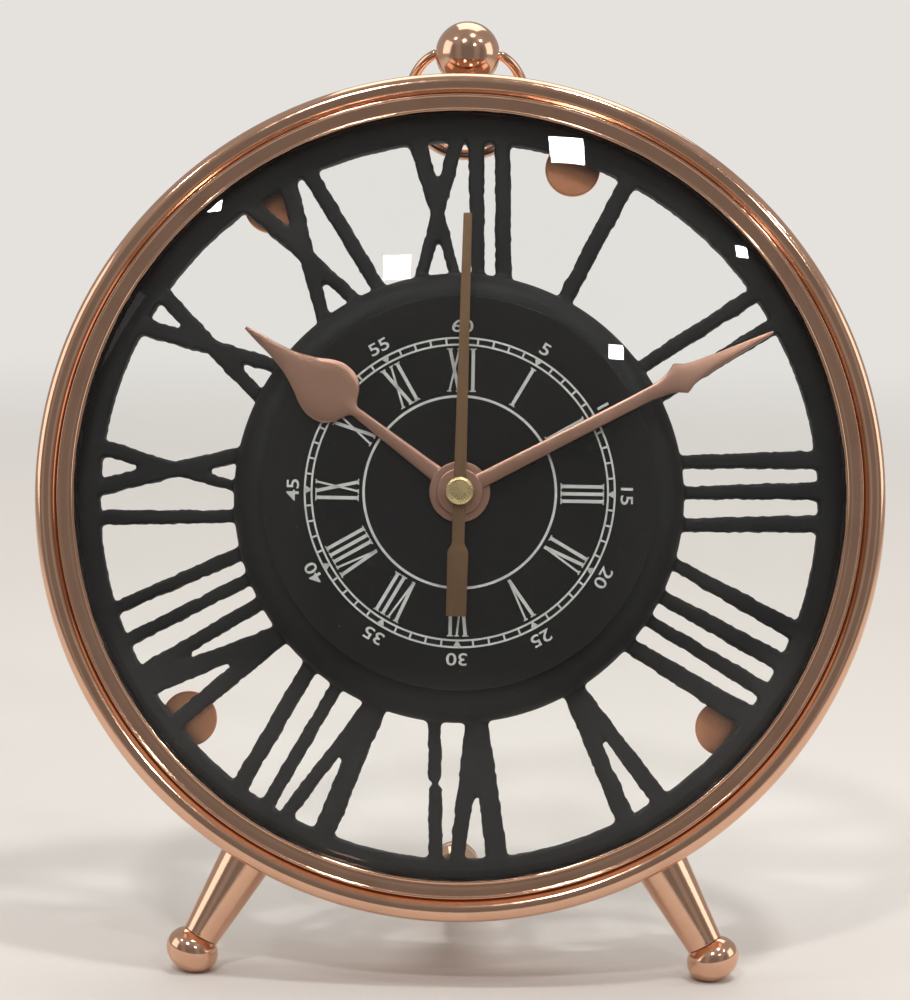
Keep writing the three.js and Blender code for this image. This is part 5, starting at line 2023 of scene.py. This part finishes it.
@dataclass
class Hands:
    """The three hands and the centre cap."""

    hour_angle: float = 306.6
    hour_length: float = 47.8
    hour_width: float = 11.2
    hour_hub: float = 5.4
    hour_bore: float = 3.15
    hour_front: float = -2.15
    minute_angle: float = 61.9
    minute_length: float = 62.6
    minute_width: float = 5.9
    minute_hub: float = 4.07
    minute_bore: float = 2.05
    minute_front: float = -3.15
    bend_start: float = 36.0
    bend: float = 3.3
    thickness: float = 0.6
    second_angle: float = 0.7
    second_length: float = 49.3
    second_tail: float = 22.0
    weight_length: float = 12.0
    weight_width: float = 3.65
    shaft_width: float = 2.2
    tip_width: float = 1.5
    second_front: float = -4.05
    second_thickness: float = 0.5
    cap_radius: float = 2.46
    cap_front: float = -5.4
    cap_back: float = -4.2
    cap_steps: tuple[Point, ...] = ((0.0, 0.42), (-0.5, 0.1), (-0.75, 0.16))
    cap_rounds: tuple[float, ...] = (0.0, 0.05, 0.12, 0.12, 0.1, 0.0)
    hub_lift: float = 0.01
    hub_rounds: tuple[float, ...] = (0.1, 0.22, 0.05, 0.05)
    weight_taper: float = 0.97
    weight_start: float = 0.55
    weight_end: float = 0.75
    weight_rounds: tuple[float, ...] = (0.12, 0.3, 0.3, 0.0, 0.2)
    second_bevel: float = 0.07
    second_boss: float = 2.26
    boss_rounds: tuple[float, ...] = (0.0, 0.1, 0.05, 0.0)

    def blade(self, shares: list[Point], length: float, half: float, front: float,
              drop: Callable[[float], float]) -> Mesh:
        """A pressed blade with a soft crown and rolled edges.

        Args:
            shares: Distance along the blade and half width there, as shares.
            length: The blade's length from the clock's axis.
            half: Half its greatest width.
            front: The depth of its front face.
            drop: How far the blade curves back at a distance.

        Returns:
            The blade along +Z.
        """
        line = smooth_curve([Vector((along, width, 0)) for along, width in shares], 8, False)
        across = [-1, -1, -0.93, -0.8, -0.5, 0, 0.5, 0.8, 0.93, 1, 1]
        sink = [1, 0.5, 0.2, 0.1, 0.03, 0, 0.03, 0.1, 0.2, 0.5, 1]
        work = bmesh.new()
        rings = []
        for point in line:
            z, reach = point.x * length, max(point.y, 0.02) * half
            rings.append(
                [
                    work.verts.new((share * reach, front + drop(z) + depth * self.thickness, z))
                    for share, depth in zip(across, sink)
                ]
            )
        for ring, other in zip(rings, rings[1:]):
            for i in range(len(ring)):
                k = (i + 1) % len(ring)
                work.faces.new((ring[i], ring[k], other[k], other[i]))
        work.faces.new(rings[0])
        work.faces.new(rings[-1])
        return tidy(work)

    def minute_drop(self, z: float) -> float:
        """How far the minute hand has curved back under the glass at a distance."""
        return self.bend * (max(0.0, z - self.bend_start) / (self.minute_length - self.bend_start)) ** 2

    def hub(self, radius: float, bore: float, front: float) -> Mesh:
        """A hand's round hub with rolled rims.

        Args:
            radius: Its radius.
            bore: The radius of its hole.
            front: The depth of its face.

        Returns:
            The hub.
        """
        back = front + self.thickness
        section = [(bore, front), (radius, front), (radius, back), (bore, back)]
        return turned(section, self.hub_rounds, 72)

    def second(self) -> Mesh:
        """The flat second hand with its flat-ended weight.

        Returns:
            The hand, pointing to 12.
        """
        shoulder = self.second_tail - self.weight_length
        weight, shaft, tip = self.weight_width / 2, self.shaft_width / 2, self.tip_width / 2
        side = [
            (weight * self.weight_taper, -self.second_tail),
            (weight, -shoulder - self.weight_start),
            (shaft, -shoulder + self.weight_end),
            (shaft, 0),
            (tip, self.second_length),
        ]
        right = cornered(side, self.weight_rounds)
        left = [(-x, z, reach) for x, z, reach in reversed(right)]
        front, back = self.second_front, self.second_front + self.second_thickness
        flat = plate(rounded([*right, *left], 3), front, back, self.second_bevel)
        disc = [(0, front), (self.second_boss, front), (self.second_boss, back), (0, back)]
        return joined([flat, turned(disc, self.boss_rounds)])

    def cap(self) -> Mesh:
        """The turned brass cap with a bright bevelled rim.

        Returns:
            The cap.
        """
        steps = [(self.cap_radius + out, self.cap_front + back) for out, back in self.cap_steps]
        section = [(0, self.cap_back), (self.cap_radius, self.cap_back), *steps, (0, self.cap_front)]
        return turned(section, self.cap_rounds, 72)

    def build(self, bench: Bench) -> None:
        """Adds the hands, each on its own body, and the cap on the second hand's body.

        Args:
            bench: Where the pieces go.
        """
        half, front = self.hour_width / 2, self.hour_front
        blade = self.blade(HOUR_OUTLINE, self.hour_length, half, front, lambda z: 0.0)
        hour = joined([blade, self.hub(self.hour_hub, self.hour_bore, front - self.hub_lift)])
        hour = moved(hour, clock_turn(self.hour_angle))
        bench.add("hand_hour", hour, HAND_COPPER, "hour_hand_body", ["hour_hand"], 30)
        half, front = self.minute_width / 2, self.minute_front
        blade = self.blade(MINUTE_OUTLINE, self.minute_length, half, front, self.minute_drop)
        minute = joined([blade, self.hub(self.minute_hub, self.minute_bore, front - self.hub_lift)])
        minute = moved(minute, clock_turn(self.minute_angle))
        bench.add("hand_minute", minute, HAND_COPPER, "minute_hand_body", ["minute_hand"], 30)
        second = moved(self.second(), clock_turn(self.second_angle))
        bench.add("hand_second", second, SECOND_BRONZE, "second_hand_body", ["second_hand"])
        bench.add("hand_cap", self.cap(), CAP_BRASS, "second_hand_body", ["centre_cap"], 25)


@dataclass
class Movement:
    """The quartz movement: its case and cover, set knob, train, electrics and cell."""

    cover_back: float = 21.15
    rib_count: int = 7
    rib_pitch: float = 2.2
    rib_length: float = 12.0
    rib_left: float = -16.0
    rib_bottom: float = 8.0
    rib_height: float = 0.4
    knob_x: float = 19.2
    knob_radius: float = 4.5
    knob_front: float = 21.35
    knob_back: float = 23.95
    knob_ridges: int = 28
    dial_ring: float = 6.6
    cell_depth: float = 13.8
    cell_z: float = -19.2
    cell_radius: float = 7.25
    cell_half: float = CELL_HALF_LENGTH
    coil_radius: float = 3.0
    coil_turns: int = 34
    shell_bevel: float = 0.3
    contact_bevel: float = 0.12
    rib_width: float = 0.9
    rib_bevel: float = 0.18
    ridge_radius: float = 0.24
    ridge_sink: float = 0.02
    ridge_margin: float = 0.5
    grip_steps: tuple[Point, ...] = ((1.6, 0.0), (2.1, 0.25), (3.4, 0.25), (3.7, 0.0))
    grip_rounds: tuple[float, ...] = (0.1, 0.1, 0.1, 0.1)
    arrow_start: float = 20.0
    arrow_sweep: float = 250.0
    arrow_width: float = 0.5
    arrow_root: float = 0.1
    arrow_rise: float = 0.3
    head_half: float = 0.9
    head_length: float = 1.9
    cell_base: tuple[Corner, ...] = ((2.2, 0.35, 0.2), (1.9, 0.0, 0.2), (0.0, 0.0, 0.7))
    cell_crimp: float = 1.9
    crimp_round: float = 0.5
    cell_top: tuple[Corner, ...] = (
        (5.85, 1.35, 0.3),
        (3.1, 1.35, 0.2),
        (2.75, 1.1, 0.1),
        (2.75, 0.0, 0.35),
        (0.0, 0.0, 0.0),
    )
    coil_length: float = 15.0
    wire_radius: float = 0.2
    winding_margin: float = 0.8
    bobbin_bore: float = 1.7
    bobbin_rim: float = 0.7
    bobbin_sink: float = 0.35
    bobbin_rounds: tuple[float, ...] = (0.0, 0.1, 0.1, 0.0, 0.0, 0.1, 0.1, 0.0)

    def ribs(self) -> Mesh:
        """The ribs moulded into the cover, from a node tree.

        Returns:
            The ribs.
        """
        book = ShapeBook("cover_ribs")
        size = book.join(
            book.input("Rib Width", self.rib_width),
            book.input("Rib Height", self.rib_height * 2),
            book.input("Rib Length", self.rib_length),
        )
        rib = book.node("GeometryNodeMeshCube", {"Size": size})
        step = book.join(book.input("Rib Pitch", self.rib_pitch), 0.0, 0.0)
        count = book.input("Ribs", self.rib_count)
        line = book.node("GeometryNodeMeshLine", {"Count": count, "Offset": step})
        stand = book.node("GeometryNodeInstanceOnPoints", {"Points": line, "Instance": rib})
        mesh = book.grow(stand, BLACK_MOULDED)
        middle = self.rib_bottom + self.rib_length / 2
        mesh = moved(mesh, Matrix.Translation((self.rib_left, self.cover_back, middle)))
        return with_modifier(mesh, "BEVEL", width=self.rib_bevel, segments=2, limit_method="ANGLE")

    def ridges(self) -> Mesh:
        """The grip ridges round the set knob, from a node tree.

        Returns:
            The ridges and the ring on the knob's end.
        """
        book = ShapeBook("knob_ridges")
        count = book.input("Ridges", self.knob_ridges)
        reach = book.input("Knob Radius", self.knob_radius - self.ridge_sink)
        radius = book.input("Ridge Radius", self.ridge_radius)
        length = book.input("Length", self.knob_back - self.knob_front - self.ridge_margin)
        ridge = book.node("GeometryNodeMeshCylinder", {"Vertices": 10, "Radius": radius, "Depth": length})
        circle = book.node("GeometryNodeMeshCircle", {"Vertices": count, "Radius": reach})
        stand = book.node("GeometryNodeInstanceOnPoints", {"Points": circle, "Instance": ridge})
        mesh = moved(book.grow(stand, BLACK_MOULDED), FACE)
        middle = (self.knob_front + self.knob_back) / 2
        ring = turned([(out, self.knob_back + rise) for out, rise in self.grip_steps], self.grip_rounds)
        place = Matrix.Translation((self.knob_x, 0, 0))
        return joined([moved(mesh, place @ Matrix.Translation((0, middle, 0))), moved(ring, place)])

    def signs(self) -> Mesh:
        """The raised turning arrow round the set knob.

        Returns:
            The arrow's band and head.
        """
        root, top = self.cover_back - self.arrow_root, self.cover_back + self.arrow_rise
        start, end = self.arrow_start, self.arrow_start + self.arrow_sweep
        outer = arc((0, 0), self.dial_ring, start, end, 26)
        inner = arc((0, 0), self.dial_ring - self.arrow_width, start, end, 26)
        band = plate([(x, z) for x, z, _ in [*outer, *reversed(inner)]], root, top)
        angle = math.radians(start)
        along = Vector((math.sin(angle), -math.cos(angle)))
        base = Vector((math.cos(angle), math.sin(angle))) * (self.dial_ring - self.arrow_width / 2)
        side = Vector((along.y, -along.x)) * self.head_half
        corners = [base + side, base + along * self.head_length, base - side]
        head = plate([tuple(point) for point in corners], root, top)
        return moved(joined([band, head]), Matrix.Translation((self.knob_x, 0, 0)))

    def cell(self) -> Mesh:
        """The AA cell with its crimped shoulder, cap and base.

        Returns:
            The cell in its bay.
        """
        half, r = self.cell_half, self.cell_radius
        base = [(r - inward, rise - half, reach) for inward, rise, reach in self.cell_base]
        top = [(radius, half - sunk, reach) for radius, sunk, reach in self.cell_top]
        section = rounded([(0, base[0][1], 0), *base, (r, half - self.cell_crimp, self.crimp_round), *top])
        return moved(lathe(section, 96), aimed(Vector((1, 0, 0)), Vector((0, self.cell_depth, self.cell_z))))

    def coil(self) -> Mesh:
        """The wound coil on its bobbin, in the place of its frame node.

        Returns:
            The winding and its bobbin.
        """
        low, high = (CLOCK.inverted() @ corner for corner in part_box("coil"))
        centre = (low + high) / 2
        length = self.coil_length
        mean = self.coil_radius - self.wire_radius
        book = ShapeBook("coil_winding")
        path = book.node(
            "GeometryNodeCurveSpiral",
            {
                "Resolution": 24,
                "Rotations": book.input("Turns", float(self.coil_turns)),
                "Start Radius": book.input("Start Radius", mean),
                "End Radius": book.input("End Radius", mean),
                "Height": book.input("Coil Length", length - 2 * self.winding_margin),
            },
        )
        thickness = book.input("Wire Radius", self.wire_radius)
        wire = book.node("GeometryNodeCurvePrimitiveCircle", {"Resolution": 6, "Radius": thickness})
        sweep = {"Curve": path, "Profile Curve": wire, "Fill Caps": True}
        wound = book.node("GeometryNodeCurveToMesh", sweep)
        winding = moved(
            book.grow(wound, COIL_WIRE), Matrix.Translation((0, 0, self.winding_margin - length / 2))
        )
        r, rim = self.coil_radius, self.bobbin_rim
        half = [(self.bobbin_bore, 0), (r, 0), (r, rim), (r - self.bobbin_sink, rim)]
        bobbin = [*half, *((radius, length - y) for radius, y in reversed(half))]
        spool = turned(bobbin, self.bobbin_rounds, 32)
        spool = moved(spool, aimed(Vector((0, 0, 1)), Vector((0, 0, -length / 2))))
        return moved(joined([winding, spool]), Matrix.Translation(centre))

    def build(self, bench: Bench) -> None:
        """Adds the visible movement pieces and dresses the rest of the frame nodes.

        Args:
            bench: Where the pieces go.
        """
        softer = (
            ("movement_shell", "movement_case", self.shell_bevel, BLACK_MOULDED),
            ("movement_back", "movement_cover", self.shell_bevel, BLACK_MOULDED),
            ("contact_plus", "contact_positive", self.contact_bevel, SPRING_BRASS),
            ("contact_minus", "contact_negative", self.contact_bevel, PLATED_STEEL),
        )
        for name, node, bevel, finish in softer:
            bench.add(name, softened(node, bevel), finish, CASE, [node])
        bench.add("cover_ribs", self.ribs(), BLACK_MOULDED, CASE)
        bench.add("cover_arrow", self.signs(), BLACK_MOULDED, CASE)
        bench.add("set_knob_grip", self.ridges(), BLACK_MOULDED, "set_knob_body")
        bench.dress(BLACK_MOULDED, "set_knob", "train_bridge")
        bench.add("cell", self.cell(), CELL_SLEEVE, "cell_body", ["aa_cell"])
        bench.add("coil_wound", self.coil(), COIL_WIRE, CASE, ["coil"])
        bench.dress(PLATED_STEEL, "coil_core", "stator", "crystal", "rotor")
        bench.dress(GREEN_BOARD, "circuit_board")
        wheels = ("hour_wheel", "centre_wheel", "seconds_wheel", "third_wheel", "fifth_wheel", "motion_wheel")
        bench.dress(WHITE_MOULDED, *wheels)
        bench.dress(SPRING_BRASS, "centre_nut")
        bench.dress(BLACK_RUBBER, "rubber_washer")


@dataclass
class Studio:
    """The pale ground, the lamps and the camera of the main view."""

    dome: Dome
    camera_place: Vector = Vector((0.00246, -0.480, 0.14739))
    yaw: float = 0.41
    pitch: float = -7.55
    roll: float = 0.906
    lens: float = 93.74
    sensor: float = 36.0
    nearest: float = 0.01
    focal_pixels: float = 2604.0
    picture_centre: Point = (455.0, 500.0)
    ground_size: float = 30.0
    aim: Vector = Vector((0, 0, 0.08))
    lamp_reach: float = 1.1
    lamp_colour: Colour = (1.0, 0.98, 0.95)

    def axes(self) -> tuple[Vector, Vector, Vector]:
        """The camera's right, up and forward directions.

        Returns:
            Three unit vectors.
        """
        yaw, pitch, roll = (math.radians(angle) for angle in (self.yaw, self.pitch, self.roll))
        right = Vector((math.cos(yaw), math.sin(yaw), 0))
        ahead = Vector((-math.sin(yaw), math.cos(yaw), 0))
        up = Vector((0, 0, 1))
        forward = ahead * math.cos(pitch) + up * math.sin(pitch)
        over = -ahead * math.sin(pitch) + up * math.cos(pitch)
        return (
            right * math.cos(roll) + over * math.sin(roll),
            -right * math.sin(roll) + over * math.cos(roll),
            forward,
        )

    def camera(self) -> None:
        """Adds the camera."""
        data = bpy.data.cameras.new("main_camera")
        data.lens = self.lens
        data.sensor_width = self.sensor
        data.clip_start = self.nearest
        camera = placed("main_camera", data)
        right, up, forward = self.axes()
        turn = Matrix((right, up, -forward)).transposed().to_4x4()
        camera.matrix_world = Matrix.Translation(self.camera_place) @ turn
        bpy.context.scene.camera = camera

    def lamp(
        self, name: str, place: Matrix, size: float, power: float, colour: Colour = (1, 1, 1)
    ) -> None:
        """Adds a square lamp that shines along its own -Z.

        Args:
            name: The lamp's name.
            place: Its place and turn.
            size: Its side in metres.
            power: Its power in watts.
            colour: Its colour.
        """
        data = bpy.data.lights.new(name, "AREA")
        data.shape = "SQUARE"
        data.size = size
        data.energy = power
        data.color = colour
        lamp = placed(name, data)
        lamp.visible_transmission = False
        lamp.matrix_world = place

    def facing(self, place: Vector) -> Matrix:
        """The place and turn of a lamp that looks at the middle of the clock."""
        turn = (self.aim - place).to_track_quat("-Z", "Y").to_matrix().to_4x4()
        return Matrix.Translation(place) @ turn

    def mirrored_place(self, pixel: Point, reach: float) -> Matrix:
        """How a lamp stands so that the glass shows it upright at a pixel.

        Args:
            pixel: The place in the picture.
            reach: How far the lamp stands from the glass.

        Returns:
            The lamp's place and turn.
        """
        right, up, forward = self.axes()
        x = (pixel[0] - self.picture_centre[0]) / self.focal_pixels
        y = (self.picture_centre[1] - pixel[1]) / self.focal_pixels
        ray = (forward + right * x + up * y).normalized()
        centre = CLOCK @ Vector((0, self.dome.centre, 0))
        radius = self.dome.sphere * MILLIMETRE
        offset = self.camera_place - centre
        along = ray.dot(offset)
        hit = self.camera_place + ray * (-along - math.sqrt(along**2 - offset.length_squared + radius**2))
        normal = (hit - centre).normalized()
        out = ray.reflect(normal)
        across = right.reflect(normal)
        across = (across - out * across.dot(out)).normalized()
        turn = Matrix((across, out.cross(across), out)).transposed().to_4x4()
        return Matrix.Translation(hit + out * reach) @ turn

    def lamps(self) -> None:
        """Adds the soft boxes and the small square ceiling lamps that the glass mirrors."""
        soft = (
            ("overhead", Vector((0.1, 0.65, 1.35)), 1.1, 7.2),
            ("left_side", Vector((-1.25, -0.15, 0.55)), 0.8, 2.6),
            ("right_side", Vector((1.3, -0.05, 0.5)), 0.7, 2.2),
        )
        for name, place, size, power in soft:
            self.lamp(name, self.facing(place), size, power, self.lamp_colour)
        squares = (
            ((567, 150), 0.096, 3.4),
            ((397, 267), 0.080, 2.6),
            ((616, 352), 0.046, 1.0),
            ((742, 252), 0.036, 0.8),
            ((215, 205), 0.042, 0.8),
        )
        for i, (pixel, size, power) in enumerate(squares):
            self.lamp(f"square_{i + 1}", self.mirrored_place(pixel, self.lamp_reach), size, power)

    def surroundings(self) -> None:
        """Sets the world: pale as a background, and dimmer in front of the clock for its reflections."""
        world = bpy.data.worlds.new("surroundings")
        world.use_nodes = True
        world.node_tree.nodes.clear()
        book = NodeBook(world.node_tree)
        strength, _ = surroundings_strength(book, book.node("ShaderNodeTexCoord", output="Generated"))
        back = book.node("ShaderNodeBackground", {"Color": (*SURROUNDINGS, 1.0), "Strength": strength})
        book.node("ShaderNodeOutputWorld", {"Surface": back})
        bpy.context.scene.world = world

    def ground(self) -> None:
        """Adds the ground."""
        work = bmesh.new()
        bmesh.ops.create_grid(work, x_segments=8, y_segments=8, size=self.ground_size)
        mesh = bpy.data.meshes.new("ground")
        work.to_mesh(mesh)
        work.free()
        mesh.materials.append(PALE_GROUND.material())
        ground = placed("ground", mesh)

    def build(self) -> None:
        """Sets up the whole studio."""
        bpy.context.scene.view_settings.view_transform = "Standard"
        self.camera()
        self.ground()
        self.lamps()
        self.surroundings()


def main() -> None:
    """Builds the clock and its studio."""
    logging.basicConfig(level=logging.INFO, format="%(name)s: %(message)s")
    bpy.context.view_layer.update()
    bench = Bench()
    dome = Dome()
    Studio(dome).build()
    stance = Stance()
    knob = KnobAndBail()
    Bezel().build(bench)
    dome.build(bench)
    Drum().build(bench, stance)
    PiercedDial().build(bench)
    PrintedDisc().build(bench)
    Clips().build(bench)
    stance.build(bench, knob.stud)
    knob.build(bench)
    Hands().build(bench)
    Movement().build(bench)
    bpy.context.view_layer.update()


if __name__ == "__main__":
    main()
